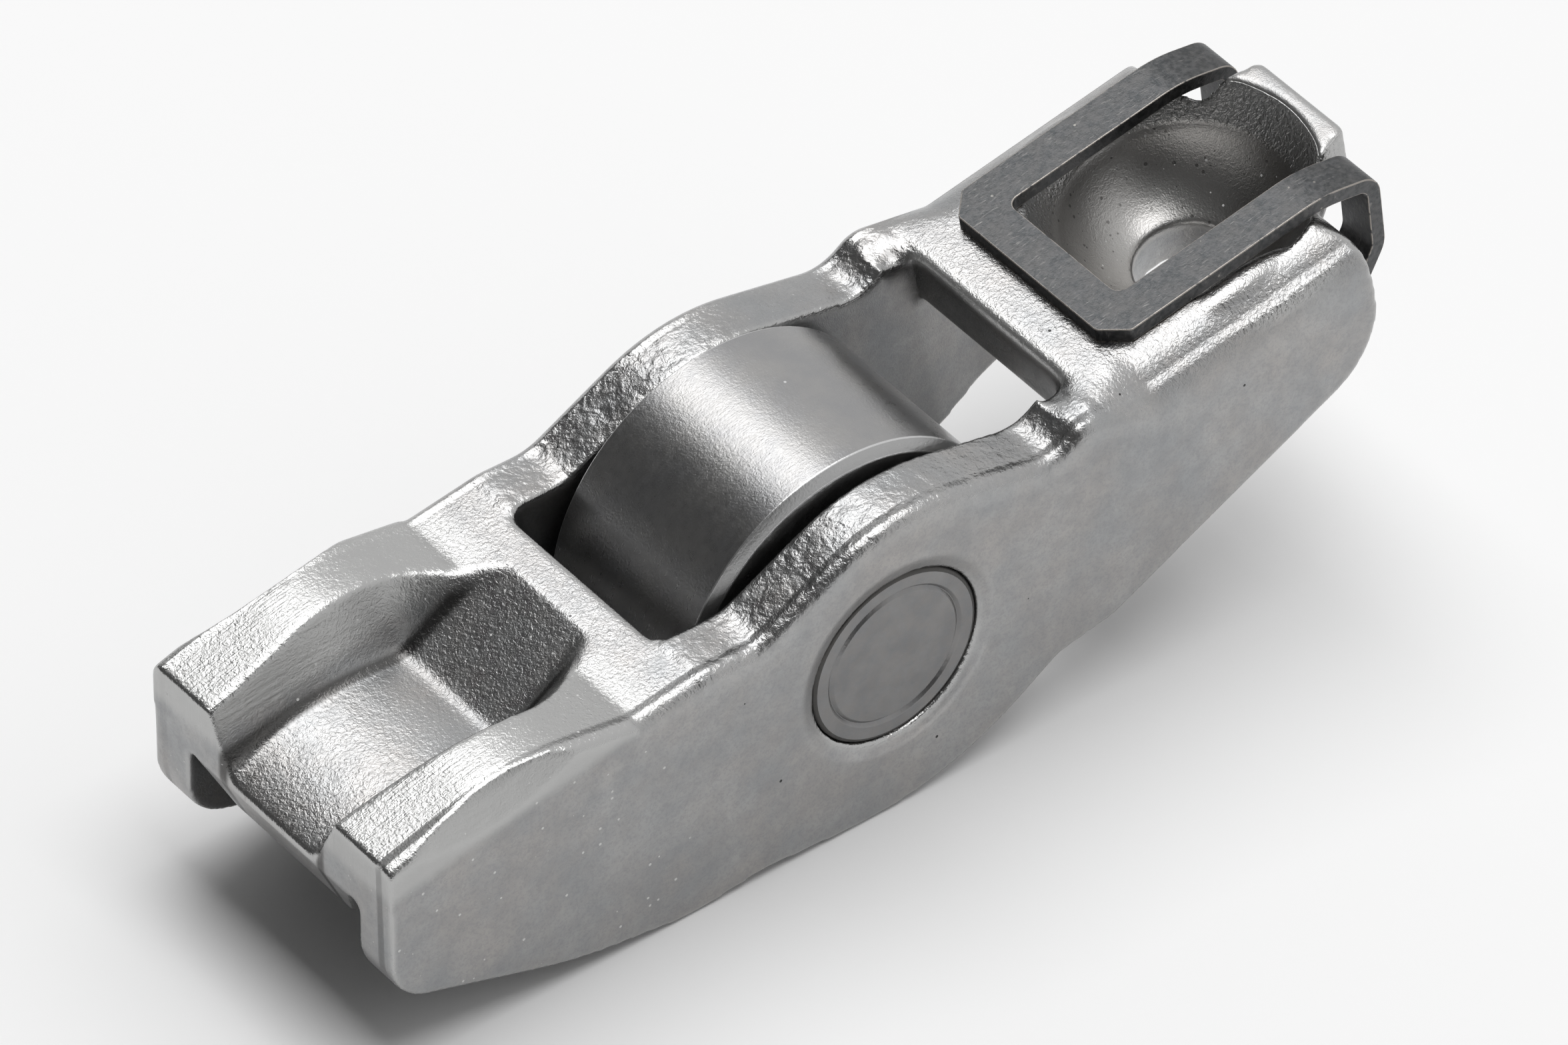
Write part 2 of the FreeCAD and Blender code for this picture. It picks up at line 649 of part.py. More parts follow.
def strip(path, thickness):
    """A side outline of bent strip: a path of (x, z, bend radius) given half the thickness each way."""
    left, right = [], []
    count = len(path)
    for index, (x, z, radius) in enumerate(path):
        here = Vector(x, 0, z)
        before = here - side(*path[index - 1][:2]) if index > 0 else None
        after = side(*path[index + 1][:2]) - here if index < count - 1 else None
        before = before or after
        after = after or before
        before.normalize()
        after.normalize()
        normal = (Vector(-before.z, 0, before.x) + Vector(-after.z, 0, after.x)).normalize()
        reach = thickness / 2 / math.cos(before.getAngle(after) / 2)
        turn = before.x * after.z - before.z * after.x
        grow = 0 if radius == 0 else (thickness / 2 if turn < 0 else -thickness / 2)
        upper, lower = here + normal * reach, here - normal * reach
        left.append((upper.x, upper.z, radius + grow))
        right.append((lower.x, lower.z, radius - grow))
    return left + right[::-1]


def retaining_clip():
    """A spring-steel strip: a flat U over the socket whose legs bend down round the arm's end."""
    under = SOCKET_PLATE_HEIGHT
    half = CLIP_WIDTH / 2
    inner = half - CLIP_BAND_WIDTH
    frame = [
        (CLIP_FRONT, half - CLIP_CORNER_CHAMFER, CLIP_CORNER_RADIUS),
        (CLIP_FRONT + CLIP_CORNER_CHAMFER, half, CLIP_CORNER_RADIUS),
        (CLIP_BEND_START, half, 0),
        (CLIP_BEND_START, inner, 0),
        (CLIP_FRONT + CLIP_BAND_WIDTH, inner, CLIP_INNER_RADIUS),
    ]
    flat = upright(mirrored(frame), under, under + CLIP_THICKNESS)
    level = under + CLIP_THICKNESS / 2
    reach = WALL_END + CLIP_REACH - CLIP_THICKNESS / 2
    route = [
        (CLIP_BEND_START, level, 0),
        (CLIP_BEND_START + CLIP_SAG_LENGTH, level, CLIP_SAG_RADIUS),
        (reach + CLIP_SHOULDER_LEAN, level - CLIP_SHOULDER_DROP, CLIP_SHOULDER_RADIUS),
        (reach, CLIP_KNEE_HEIGHT, CLIP_KNEE_RADIUS),
        (WALL_END - CLIP_HOOK_RETURN, -CLIP_HOOK_DEPTH, 0),
    ]
    legs = []
    for hand in (1, -1):
        leg = across(strip(route, CLIP_THICKNESS), CLIP_BAND_WIDTH / 2)
        leg.translate(Vector(0, hand * (half - CLIP_BAND_WIDTH / 2), 0))
        legs.append(leg)
    return flat.fuse(legs).removeSplitter()


def resting_tilt():
    """The slope, in degrees, at which the roller and the knees of the walls stand level."""
    heel = side(-HEEL_DISTANCE, -HEEL_DEPTH)
    knee = side(-KNEE_DISTANCE, -KNEE_DEPTH)
    shin = side(-PAD_DISTANCE + SHIN_BEFORE_PAD, -SHIN_DEPTH)
    back = (heel - knee).normalize()
    ahead = (shin - knee).normalize()
    half = back.getAngle(ahead) / 2
    centre = knee + (back + ahead).normalize() * (KNEE_RADIUS / math.sin(half))
    droop = math.atan2(-centre.z, -centre.x)
    return math.degrees(math.asin((ROLLER_RADIUS - KNEE_RADIUS) / centre.Length) - droop)


def laid_down(shape):
    """The shape as the arm rests, with the pivot's centre as the origin."""
    placed = shape.copy()
    placed.translate(Vector(-PIVOT_DISTANCE, 0, -SEAT_CENTRE_HEIGHT))
    placed.rotate(Vector(0, 0, 0), Vector(0, 1, 0), -resting_tilt())
    return placed


pieces = {
    "arm_body": arm_body(),
    "roller": roller(),
    "axle_pin": axle_pin(),
    "retaining_clip": retaining_clip(),
}
for number in range(needle_count()):
    pieces["needle_%02d" % (number + 1)] = needle(number)

print("tilt %.4f" % resting_tilt())
os.makedirs("parts", exist_ok=True)
for name, shape in pieces.items():
    laid_down(shape).exportStep("parts/%s.step" % name)
    print(name, "solids", len(shape.Solids), "valid", shape.isValid(), "volume %.1f" % shape.Volume)
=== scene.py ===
import json
import math

import bmesh
import bpy
from mathutils import Matrix, Vector


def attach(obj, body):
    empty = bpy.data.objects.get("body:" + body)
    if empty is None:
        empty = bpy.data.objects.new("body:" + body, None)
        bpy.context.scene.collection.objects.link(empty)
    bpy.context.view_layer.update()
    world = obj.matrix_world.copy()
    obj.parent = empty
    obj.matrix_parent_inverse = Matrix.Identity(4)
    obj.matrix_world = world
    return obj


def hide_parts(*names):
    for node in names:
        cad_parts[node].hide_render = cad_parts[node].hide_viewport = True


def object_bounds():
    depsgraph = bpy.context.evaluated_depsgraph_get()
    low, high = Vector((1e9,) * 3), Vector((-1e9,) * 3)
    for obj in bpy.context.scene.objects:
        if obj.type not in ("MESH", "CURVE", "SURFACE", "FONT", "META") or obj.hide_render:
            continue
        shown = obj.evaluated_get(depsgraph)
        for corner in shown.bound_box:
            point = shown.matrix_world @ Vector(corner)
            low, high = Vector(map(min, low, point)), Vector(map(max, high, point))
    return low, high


# %% [markdown]
# This lesson dresses a roller finger follower: a small rocker arm pressed and folded from sheet
# steel. It lies on its roller, with the side that faces the valve and the pivot on top.
# The construction comes in as a fixed frame, so every piece is already in its place. What is
# left is the finish: tumbled sheet steel, a ground roller, a turned pin, a dark spring clip,
# polished needles, and the light that shows them.

# %% The frame
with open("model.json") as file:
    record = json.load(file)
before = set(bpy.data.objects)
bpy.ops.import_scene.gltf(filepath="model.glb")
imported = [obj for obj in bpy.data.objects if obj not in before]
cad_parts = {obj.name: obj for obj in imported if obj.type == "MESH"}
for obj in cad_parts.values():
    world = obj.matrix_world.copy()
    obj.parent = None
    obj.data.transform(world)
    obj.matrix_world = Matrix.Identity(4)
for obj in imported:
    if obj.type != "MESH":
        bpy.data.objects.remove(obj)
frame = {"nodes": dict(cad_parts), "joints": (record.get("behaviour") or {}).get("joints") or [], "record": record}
box_at_load = [list(corner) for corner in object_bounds()]
MM = 0.001
ARM = "arm"
mounts = {mount["name"]: mount for mount in frame["record"]["mounts"]}
joints = {joint["name"]: joint for joint in frame["joints"]}
roller_axis = Vector(joints["roller_spin"]["pos_m"])
arm_up = Vector(mounts["ball_socket"]["axis"])
arm_tilt = math.atan2(-arm_up.x, arm_up.z)
print("the arm spans", [[round(v / MM, 1) for v in corner] for corner in box_at_load])
print("it slopes by %.2f degrees" % math.degrees(arm_tilt))

# %% [markdown]
# The photograph was taken with a long lens from over the pad end's near side. The arm in it lies
# a little flatter than in the frame, so the camera is first set up by azimuth and elevation
# round the roller, and then leans with the arm by that small difference.

# %% The camera
VIEW_AZIMUTH = math.radians(-38.47)
VIEW_ELEVATION = math.radians(42.79)
VIEW_LEAN = math.radians(1.27)
VIEW_DISTANCE = 600 * MM
VIEW_SIDE = 0.3075 * MM
VIEW_RISE = 1.3015 * MM
LENS = 334.47
SENSOR = 36.0
NEAREST_SHOWN = 0.01
FARTHEST_SHOWN = 20


def make_camera():
    """A long lens that looks at the roller from the photograph's direction."""
    flat = math.cos(VIEW_ELEVATION)
    rise = math.sin(VIEW_ELEVATION)
    back = Vector((math.sin(VIEW_AZIMUTH) * flat, -math.cos(VIEW_AZIMUTH) * flat, rise))
    right = Vector((math.cos(VIEW_AZIMUTH), math.sin(VIEW_AZIMUTH), 0))
    up = back.cross(right)
    lean = Matrix.Rotation(-VIEW_LEAN, 3, "Y")
    back, right, up = lean @ back, lean @ right, lean @ up
    data = bpy.data.cameras.new("camera")
    data.lens = LENS
    data.sensor_width = SENSOR
    data.clip_start = NEAREST_SHOWN
    data.clip_end = FARTHEST_SHOWN
    camera = bpy.data.objects.new("camera", data)
    bpy.context.scene.collection.objects.link(camera)
    place = roller_axis + back * VIEW_DISTANCE + right * VIEW_SIDE + up * VIEW_RISE
    axes = Matrix((right, up, back)).transposed().to_4x4()
    camera.matrix_world = Matrix.Translation(place) @ axes
    bpy.context.scene.camera = camera
    print("the camera stands at", [round(v, 3) for v in place])


make_camera()

# %% [markdown]
# Metal shows what is around it more than its own colour. One long soft box hangs over the arm.
# Its edge on the pad's side is what draws the crisp change from dark to bright on the roller and
# on the arched pad. It hangs 0.9 m up, because a nearer box would look different from each end
# of the arm.

# %% The soft box
BOX_CENTRE = (0.05, 0.16, 0.90)
BOX_SIZE = (0.48, 1.24)
BOX_LEVEL = 3.5


def soft_box(name, centre, size, level):
    """A rectangular lamp that faces down, of a given brightness whatever its size."""
    data = bpy.data.lights.new(name, "AREA")
    data.shape = "RECTANGLE"
    data.size, data.size_y = size
    data.energy = level * math.pi * size[0] * size[1]
    lamp = bpy.data.objects.new(name, data)
    bpy.context.scene.collection.objects.link(lamp)
    lamp.location = centre
    print(name, "gives", round(data.energy, 2), "W")


soft_box("over_light", BOX_CENTRE, BOX_SIZE, BOX_LEVEL)
bpy.context.scene.view_settings.view_transform = "Standard"

# %% [markdown]
# The arm lies on a plain pale floor, which also throws soft light up at the sides and takes the
# shadow. It is a matt plane at the height of the arm's lowest point, so nothing hangs or sinks.

# %% The floor
FLOOR_COLOUR = (0.94, 0.94, 0.94, 1)
FLOOR_ROUGHNESS = 0.9
FLOOR_SIZE = 6.0


def make_floor():
    """A plain pale floor under the arm's lowest point."""
    lowest = box_at_load[0][2]
    mesh = bpy.data.meshes.new("floor")
    shape = bmesh.new()
    bmesh.ops.create_grid(shape, x_segments=1, y_segments=1, size=FLOOR_SIZE / 2)
    bmesh.ops.translate(shape, verts=shape.verts, vec=(roller_axis.x, 0, lowest))
    shape.to_mesh(mesh)
    shape.free()
    floor = bpy.data.objects.new("floor", mesh)
    bpy.context.scene.collection.objects.link(floor)
    paint = bpy.data.materials.new("floor")
    paint.use_nodes = True
    coat = paint.node_tree.nodes["Principled BSDF"]
    coat.inputs["Base Color"].default_value = FLOOR_COLOUR
    coat.inputs["Roughness"].default_value = FLOOR_ROUGHNESS
    mesh.materials.append(paint)


make_floor()

# %% [markdown]
# The room around is pale low down and towards the socket, and dim overhead on the pad's side, so
# surfaces that lean to the pad end stay dark, as the photograph has them. Two fades over the
# direction of view, one along X and one along Z, give that without any more lamps.

# %% The room
ROOM_PALE = 0.85
ROOM_DIM = 0.10
DIM_TOWARDS_PAD = (0.30, -0.10)
DIM_OVERHEAD = (0.0, 0.10)


def fade(tree, value, start, end):
    """0 where a value is at its start, 1 at its end, and smooth between."""
    node = tree.nodes.new("ShaderNodeMapRange")
    node.interpolation_type = "SMOOTHSTEP"
    tree.links.new(value, node.inputs["Value"])
    node.inputs["From Min"].default_value = start
    node.inputs["From Max"].default_value = end
    return node.outputs["Result"]


def make_room():
    """The surroundings: pale low down and towards the socket, dim overhead on the pad's side."""
    room = bpy.data.worlds.new("room")
    bpy.context.scene.world = room
    room.use_nodes = True
    tree = room.node_tree
    direction = tree.nodes.new("ShaderNodeTexCoord")
    split = tree.nodes.new("ShaderNodeSeparateXYZ")
    tree.links.new(direction.outputs["Generated"], split.inputs["Vector"])
    dim = tree.nodes.new("ShaderNodeMath")
    dim.operation = "MULTIPLY"
    tree.links.new(fade(tree, split.outputs["X"], *DIM_TOWARDS_PAD), dim.inputs[0])
    tree.links.new(fade(tree, split.outputs["Z"], *DIM_OVERHEAD), dim.inputs[1])
    level = tree.nodes.new("ShaderNodeMapRange")
    tree.links.new(dim.outputs["Value"], level.inputs["Value"])
    level.inputs["To Min"].default_value = ROOM_PALE
    level.inputs["To Max"].default_value = ROOM_DIM
    background = tree.nodes["Background"]
    tree.links.new(level.outputs["Result"], background.inputs["Strength"])
    background.inputs["Color"].default_value = (1, 1, 1, 1)


make_room()

# %% [markdown]
# The imported model is made of loose triangles with knife-sharp edges. Real metal has no such edge:
# grinding and tumbling round it, and the thin round is what catches the light. On the clip, the
# roller and the pin the edges are few and clean, so each of these pieces is copied, its triangles
# are merged back into faces, and its sharp edges get a narrow bevel. The bevel's faces are marked
# with an attribute named edge, which the clip's finish reads for wear, the roller's for a painted
# highlight on its rims, and the pin's for painted shade in the groove at its rim.

# %% Copies with rounded edges
MERGE_DISTANCE = 0.004 * MM
TINY_EDGE = 0.02 * MM
FLAT_ANGLE = math.radians(0.12)
SHARP_ANGLE = math.radians(26)


def merged_copy(node):
    """A node's triangles as one connected shape, with its flat faces made whole again."""
    shape = bmesh.new()
    shape.from_mesh(frame["nodes"][node].data)
    bmesh.ops.remove_doubles(shape, verts=shape.verts, dist=MERGE_DISTANCE)
    bmesh.ops.dissolve_degenerate(shape, edges=shape.edges, dist=TINY_EDGE)
    bmesh.ops.dissolve_limit(
        shape, angle_limit=FLAT_ANGLE, use_dissolve_boundaries=False,
        verts=shape.verts, edges=shape.edges, delimit=set(),
    )
    shape.loops.layers.float.new("edge")
    return shape


def sharp_edges(shape, chosen=None):
    """The edges that two faces meet in at an angle, all of them or those that a test picks."""
    found = []
    for edge in shape.edges:
        if len(edge.link_faces) != 2 or edge.calc_face_angle(0) < SHARP_ANGLE:
            continue
        if chosen is None or chosen(edge):
            found.append(edge)
    return found


def round_off(shape, edges, width, worn=1.0):
    """Rounds edges by a bevel and marks its faces with a value, which the finishes turn into wear, painted
    highlight and painted shade.
    """
    made = bmesh.ops.bevel(
        shape, geom=edges, offset=width, offset_type="OFFSET", segments=3,
        profile=0.5, affect="EDGES", clamp_overlap=True, material=-1, loop_slide=True,
    )
    layer = shape.loops.layers.float["edge"]
    for face in made["faces"]:
        for loop in face.loops:
            loop[layer] = worn
    print("rounded", len(edges), "edges by", round(width / MM, 3), "mm")


# %% [markdown]
# Each finished shape becomes an object that stands for its node and rides on the same body.
# Smooth shading alone would bend the light across flat faces, so a Weighted Normal modifier lets
# the big faces rule the shading, and flat stays flat.

# %% From a shape to a piece
CREASE_ANGLE = math.radians(50)
BIG_FACES_RULE = 50


def finished(shape, node, body):
    """The shape as an object that stands for the node."""
    mesh = bpy.data.meshes.new(node + "_finished")
    shape.to_mesh(mesh)
    shape.free()
    mesh.shade_smooth()
    mesh.set_sharp_from_angle(angle=CREASE_ANGLE)
    piece = bpy.data.objects.new(node + "_finished", mesh)
    bpy.context.scene.collection.objects.link(piece)
    steady = piece.modifiers.new("flat_stays_flat", "WEIGHTED_NORMAL")
    steady.mode = "FACE_AREA"
    steady.weight = BIG_FACES_RULE
    steady.keep_sharp = True
    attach(piece, body)
    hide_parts(node)
    print(node, "faces", len(mesh.polygons))
    return piece


# %% [markdown]
# The arm was tumbled for hours, which rounds every edge by a little and leaves no face quite flat.
# A bevel on its many small edges would tangle, so the arm is rebuilt instead: a voxel Remesh
# turns it into a fine even net. Two small forms go in first, and the Remesh joins them to the
# arm. A lens of metal lies beside the socket, where the sheet stays flat under the clip's legs,
# and a block fills most of each notch in the window's rear corners.

# %% The fine net of the arm
ARM_VOXEL = 0.14 * MM
SHOULDER_CENTRE = Vector((20.4, 5.86, 4.57))
SHOULDER_SIZE = (3.3, 0.78, 0.6)
NOTCH_FILL_CENTRE = Vector((11.35, 5.47, 3.60))
NOTCH_FILL_SIZE = (0.80, 0.50, 1.30)
TWO_SIDES = (Vector((1, -1, 1)), Vector((1, 1, 1)))


def in_arm(point):
    """A place in the arm's own frame, in millimetres from the roller axis."""
    return Matrix.Rotation(arm_tilt, 3, "Y") @ (point - roller_axis) / MM


def from_arm():
    """The matrix from the arm's own frame in millimetres to the common frame."""
    turn = Matrix.Rotation(-arm_tilt, 4, "Y")
    return Matrix.Translation(roller_axis) @ turn @ Matrix.Scale(MM, 4)


def add_metal(shape, verts, centre, size):
    """Gives a ball or a block its half sizes and its place in the arm's own frame."""
    bmesh.ops.scale(shape, verts=verts, vec=size)
    bmesh.ops.translate(shape, verts=verts, vec=centre)
    bmesh.ops.transform(shape, verts=verts, matrix=from_arm())


def through_modifier(shape, kind, **settings):
    """The shape after a modifier, which is applied at once."""
    mesh = bpy.data.meshes.new("net")
    shape.to_mesh(mesh)
    shape.free()
    holder = bpy.data.objects.new("net", mesh)
    bpy.context.scene.collection.objects.link(holder)
    modifier = holder.modifiers.new(kind, kind)
    for title, value in settings.items():
        setattr(modifier, title, value)
    ready = holder.evaluated_get(bpy.context.evaluated_depsgraph_get())
    result = bmesh.new()
    result.from_mesh(bpy.data.meshes.new_from_object(ready))
    bpy.data.objects.remove(holder)
    bpy.data.meshes.remove(mesh)
    print(kind, "leaves", len(result.faces), "faces")
    return result


def fine_net(node, voxel):
    """The node's form, with the small forms added, as an even net of small faces."""
    shape = bmesh.new()
    shape.from_mesh(frame["nodes"][node].data)
    bmesh.ops.remove_doubles(shape, verts=shape.verts, dist=MERGE_DISTANCE)
    for side in TWO_SIDES:
        ball = bmesh.ops.create_uvsphere(shape, u_segments=32, v_segments=16, radius=1.0)
        add_metal(shape, ball["verts"], SHOULDER_CENTRE * side, SHOULDER_SIZE)
        block = bmesh.ops.create_cube(shape, size=2.0)
        add_metal(shape, block["verts"], NOTCH_FILL_CENTRE * side, NOTCH_FILL_SIZE)
    return through_modifier(shape, "REMESH", mode="VOXEL", voxel_size=voxel)


shape = fine_net("arm_body", ARM_VOXEL)

# %% [markdown]
# A few rounds of smoothing wear the net down. What smoothing takes off is also what real wear
# takes off, so it is kept as two attributes: edge, where metal was taken away, and hollow, where
# a corner was filled. The finish reads edge as wear and paints shade into the hollows. The punched
# edge behind the roller is rounder than the rest, so it gets rounds of its own.

# %% Wear on the net
WEAR_ROUNDS = 6
WEAR_DEPTH = 0.045 * MM
HOLLOW_ROUNDS = 4
REAR_LIP_ROUNDS = 40
REAR_LIP_START = 10.6
REAR_LIP_END = 13.5
REAR_LIP_SIDE = 6.4
REAR_LIP_FOOT = 2.8


def spread_out(shape, layer, rounds):
    """Evens a value out over the neighbours of each vertex."""
    for _ in range(rounds):
        means = []
        for vert in shape.verts:
            around = [edge.other_vert(vert)[layer] for edge in vert.link_edges]
            means.append(sum(around) / len(around))
        for vert, mean in zip(shape.verts, means):
            vert[layer] = (vert[layer] + mean) / 2


def smooth(shape, verts, rounds):
    """Moves each vertex half way to its neighbours' middle, a number of times."""
    for _ in range(rounds):
        bmesh.ops.smooth_vert(
            shape, verts=verts, factor=0.5, use_axis_x=True, use_axis_y=True, use_axis_z=True
        )


def on_rear_lip(vert):
    """Whether a vertex is on the window's upper rear edge or in its rear corners."""
    place = in_arm(vert.co)
    between_ends = REAR_LIP_START < place.x < REAR_LIP_END
    return between_ends and abs(place.y) < REAR_LIP_SIDE and place.z > REAR_LIP_FOOT


def wear_down(shape):
    """Smooths the net and writes what was taken off or filled as the two attributes."""
    edge = shape.verts.layers.float.new("edge")
    hollow = shape.verts.layers.float.new("hollow")
    before = [vert.co.copy() for vert in shape.verts]
    smooth(shape, shape.verts, WEAR_ROUNDS)
    shape.normal_update()
    for vert, old in zip(shape.verts, before):
        taken = (old - vert.co).dot(vert.normal) / WEAR_DEPTH
        vert[edge] = min(1.0, max(0.0, taken))
        vert[hollow] = min(1.0, max(0.0, -taken))
    spread_out(shape, hollow, HOLLOW_ROUNDS)
    smooth(shape, [vert for vert in shape.verts if on_rear_lip(vert)], REAR_LIP_ROUNDS)
    most = max((old - vert.co).length for vert, old in zip(shape.verts, before))
    print("a vertex moved by at most", round(most / MM, 3), "mm")


wear_down(shape)

# %% [markdown]
# Only the rounds need so fine a net. A Decimate modifier takes faces away where the arm is flat,
# down to a number that stays light enough to handle.

# %% The tumbled arm
ARM_TRIANGLES = 185000

share = ARM_TRIANGLES / (2 * len(shape.faces))
if share < 1:
    shape = through_modifier(shape, "DECIMATE", ratio=share)
arm = finished(shape, "arm_body", ARM)

# %% [markdown]
# The clip was sheared from strip and the roller was turned and ground, and both have small even
# rounds. The pin is staked: a punch presses a step into its end, and the end spreads into the
# hole. So the step gets a fine round that isn't worn, and the rim a wide one, which the finish
# paints dark as painted shade in the groove between pin and arm.

# %% The clip, the roller and the pin
CLIP_ROUND = 0.05 * MM
ROLLER_ROUND = 0.05 * MM
PIN_STEP_ROUND = 0.03 * MM
PIN_RIM_ROUND = 0.22 * MM
PIN_RIM = 4.2


def on_pin_rim(edge):
    """Whether an edge runs round the outside of the pin's end."""
    place = in_arm(edge.verts[0].co)
    return math.hypot(place.x, place.z) > PIN_RIM


def in_pin_step(edge):
    """Whether an edge belongs to the step inside the rim."""
    return not on_pin_rim(edge)


shape = merged_copy("retaining_clip")
round_off(shape, sharp_edges(shape), CLIP_ROUND)
clip = finished(shape, "retaining_clip", ARM)

shape = merged_copy("roller")
round_off(shape, sharp_edges(shape), ROLLER_ROUND)
roller = finished(shape, "roller", "roller")

shape = merged_copy("axle_pin")
round_off(shape, sharp_edges(shape, in_pin_step), PIN_STEP_ROUND, worn=0.0)
# The rim round is marked in full, and the pin's finish paints shade there for the groove.
round_off(shape, sharp_edges(shape, on_pin_rim), PIN_RIM_ROUND)
pin = finished(shape, "axle_pin", ARM)

# %% [markdown]
# The finishes are made from a few effects that several of them share, so each effect is a node
# group with named sockets, built once. These short helpers place and link the nodes, so that a
# finish reads as a list of what lies on the metal.

# %% Helpers for numbers and colours
COLOUR_SOCKETS = (6, 7, 2)
NUMBER_SOCKETS = (2, 3, 0)


def put(tree, value, socket):
    """Links an output to a socket, or writes a plain value into it."""
    if isinstance(value, bpy.types.NodeSocket):
        tree.links.new(value, socket)
    else:
        socket.default_value = value


def calc(tree, operation, first, second=0.0, clamp=False):
    """One Math node on outputs or plain numbers."""
    node = tree.nodes.new("ShaderNodeMath")
    node.operation = operation
    node.use_clamp = clamp
    put(tree, first, node.inputs[0])
    put(tree, second, node.inputs[1])
    return node.outputs["Value"]


def product(tree, *masks):
    """The product of several masks."""
    result = masks[0]
    for mask in masks[1:]:
        result = calc(tree, "MULTIPLY", result, mask)
    return result


def mixed(tree, kind, sockets, share, first, second):
    """A Mix node of a kind, whose two inputs and output are found by their numbers."""
    node = tree.nodes.new("ShaderNodeMix")
    node.data_type = kind
    put(tree, share, node.inputs[0])
    put(tree, first, node.inputs[sockets[0]])
    put(tree, second, node.inputs[sockets[1]])
    return node.outputs[sockets[2]]


def blended(tree, share, first, second):
    """A colour between two others, by a share from 0 to 1."""
    return mixed(tree, "RGBA", COLOUR_SOCKETS, share, first, second)


def between(tree, share, first, second):
    """A number between two others, by a share from 0 to 1."""
    return mixed(tree, "FLOAT", NUMBER_SOCKETS, share, first, second)


def layered(tree, colour, *layers):
    """A colour with others laid over it in turn, each by a mask and the most that it covers."""
    for mask, cover, tint in layers:
        colour = blended(tree, calc(tree, "MULTIPLY", mask, cover), colour, tint)
    return colour


def window(tree, value, start, end, soft):
    """1 where a value lies between a start and an end, with soft borders."""
    rise = fade(tree, value, start - soft, start + soft)
    fall = fade(tree, value, end + soft, end - soft)
    return calc(tree, "MULTIPLY", rise, fall)


# %% Helpers for places and patterns
def vector_calc(tree, operation, vector, other, output="Vector"):
    """One Vector Math node on an output and a fixed vector."""
    node = tree.nodes.new("ShaderNodeVectorMath")
    node.operation = operation
    tree.links.new(vector, node.inputs[0])
    node.inputs[1].default_value = other
    return node.outputs[output]


def in_units(tree, place, size):
    """A place counted in units of a size, which sets how large a pattern on it comes out."""
    node = tree.nodes.new("ShaderNodeVectorMath")
    node.operation = "SCALE"
    tree.links.new(place, node.inputs[0])
    tree.links.new(calc(tree, "DIVIDE", 1.0, size), node.inputs["Scale"])
    return node.outputs["Vector"]


def noise_on(tree, vector, detail, roughness=0.5):
    """A Noise Texture with lumps about one unit wide."""
    node = tree.nodes.new("ShaderNodeTexNoise")
    node.inputs["Scale"].default_value = 1.0
    node.inputs["Detail"].default_value = detail
    node.inputs["Roughness"].default_value = roughness
    tree.links.new(vector, node.inputs["Vector"])
    return node


def new_group(name, inputs, outputs):
    """An empty node group with named inputs and outputs, and its two end nodes."""
    group = bpy.data.node_groups.new(name, "ShaderNodeTree")
    for title, value in inputs.items():
        kind = "NodeSocketVector" if value is None else "NodeSocketFloat"
        socket = group.interface.new_socket(title, in_out="INPUT", socket_type=kind)
        if value is not None:
            socket.default_value = value
    for title, kind in outputs.items():
        group.interface.new_socket(title, in_out="OUTPUT", socket_type=kind)
    start = group.nodes.new("NodeGroupInput")
    end = group.nodes.new("NodeGroupOutput")
    return group, start.outputs, end.inputs


def use(tree, group, **values):
    """Places a group in a material or in another group, with its inputs set or linked."""
    node = tree.nodes.new("ShaderNodeGroup")
    node.node_tree = group
    for title, value in values.items():
        put(tree, value, node.inputs[title])
    return node.outputs


# %% [markdown]
# All effects read one place on the surface, in the arm's own frame and in millimetres from the
# roller axis. So a size in a finish is a size on the real object, and a mask can say where on
# the arm it lies. A Mapping node turns Object coordinates into that place.

# %% The place on the arm
def make_arm_place():
    """The place in millimetres from the roller axis, with X to the socket and Z up."""
    group, _, end = new_group("arm_place", {}, {"Place": "NodeSocketVector"})
    surface = group.nodes.new("ShaderNodeTexCoord")
    mapping = group.nodes.new("ShaderNodeMapping")
    group.links.new(surface.outputs["Object"], mapping.inputs["Vector"])
    origin = Matrix.Rotation(arm_tilt, 3, "Y") @ roller_axis
    mapping.inputs["Scale"].default_value = (1 / MM, 1 / MM, 1 / MM)
    mapping.inputs["Rotation"].default_value = (0, arm_tilt, 0)
    mapping.inputs["Location"].default_value = -origin / MM
    group.links.new(mapping.outputs["Vector"], end["Place"])
    return group


arm_place = make_arm_place()

# %% [markdown]
# Tumbled steel isn't smooth: pressing leaves a skin like orange peel, and the shot or stones leave
# a fine grain. Both are noise, only at other sizes, so one group gives the relief for both.

# %% Relief
def make_relief():
    """Uneven skin: noise whose lumps have about the size given."""
    group, start, end = new_group(
        "relief", {"Place": None, "Size": 0.2, "Twist": 0.3}, {"Height": "NodeSocketFloat"}
    )
    skin = noise_on(group, in_units(group, start["Place"], start["Size"]), 2.0, 0.55)
    group.links.new(start["Twist"], skin.inputs["Distortion"])
    group.links.new(skin.outputs["Fac"], end["Height"])
    return group


relief = make_relief()

# %% [markdown]
# Grinding, turning and wear leave fine lines. Noise that is stretched along X and Z and squeezed
# across Y looks like them: straight along the arm, and round the roller where that is ground.

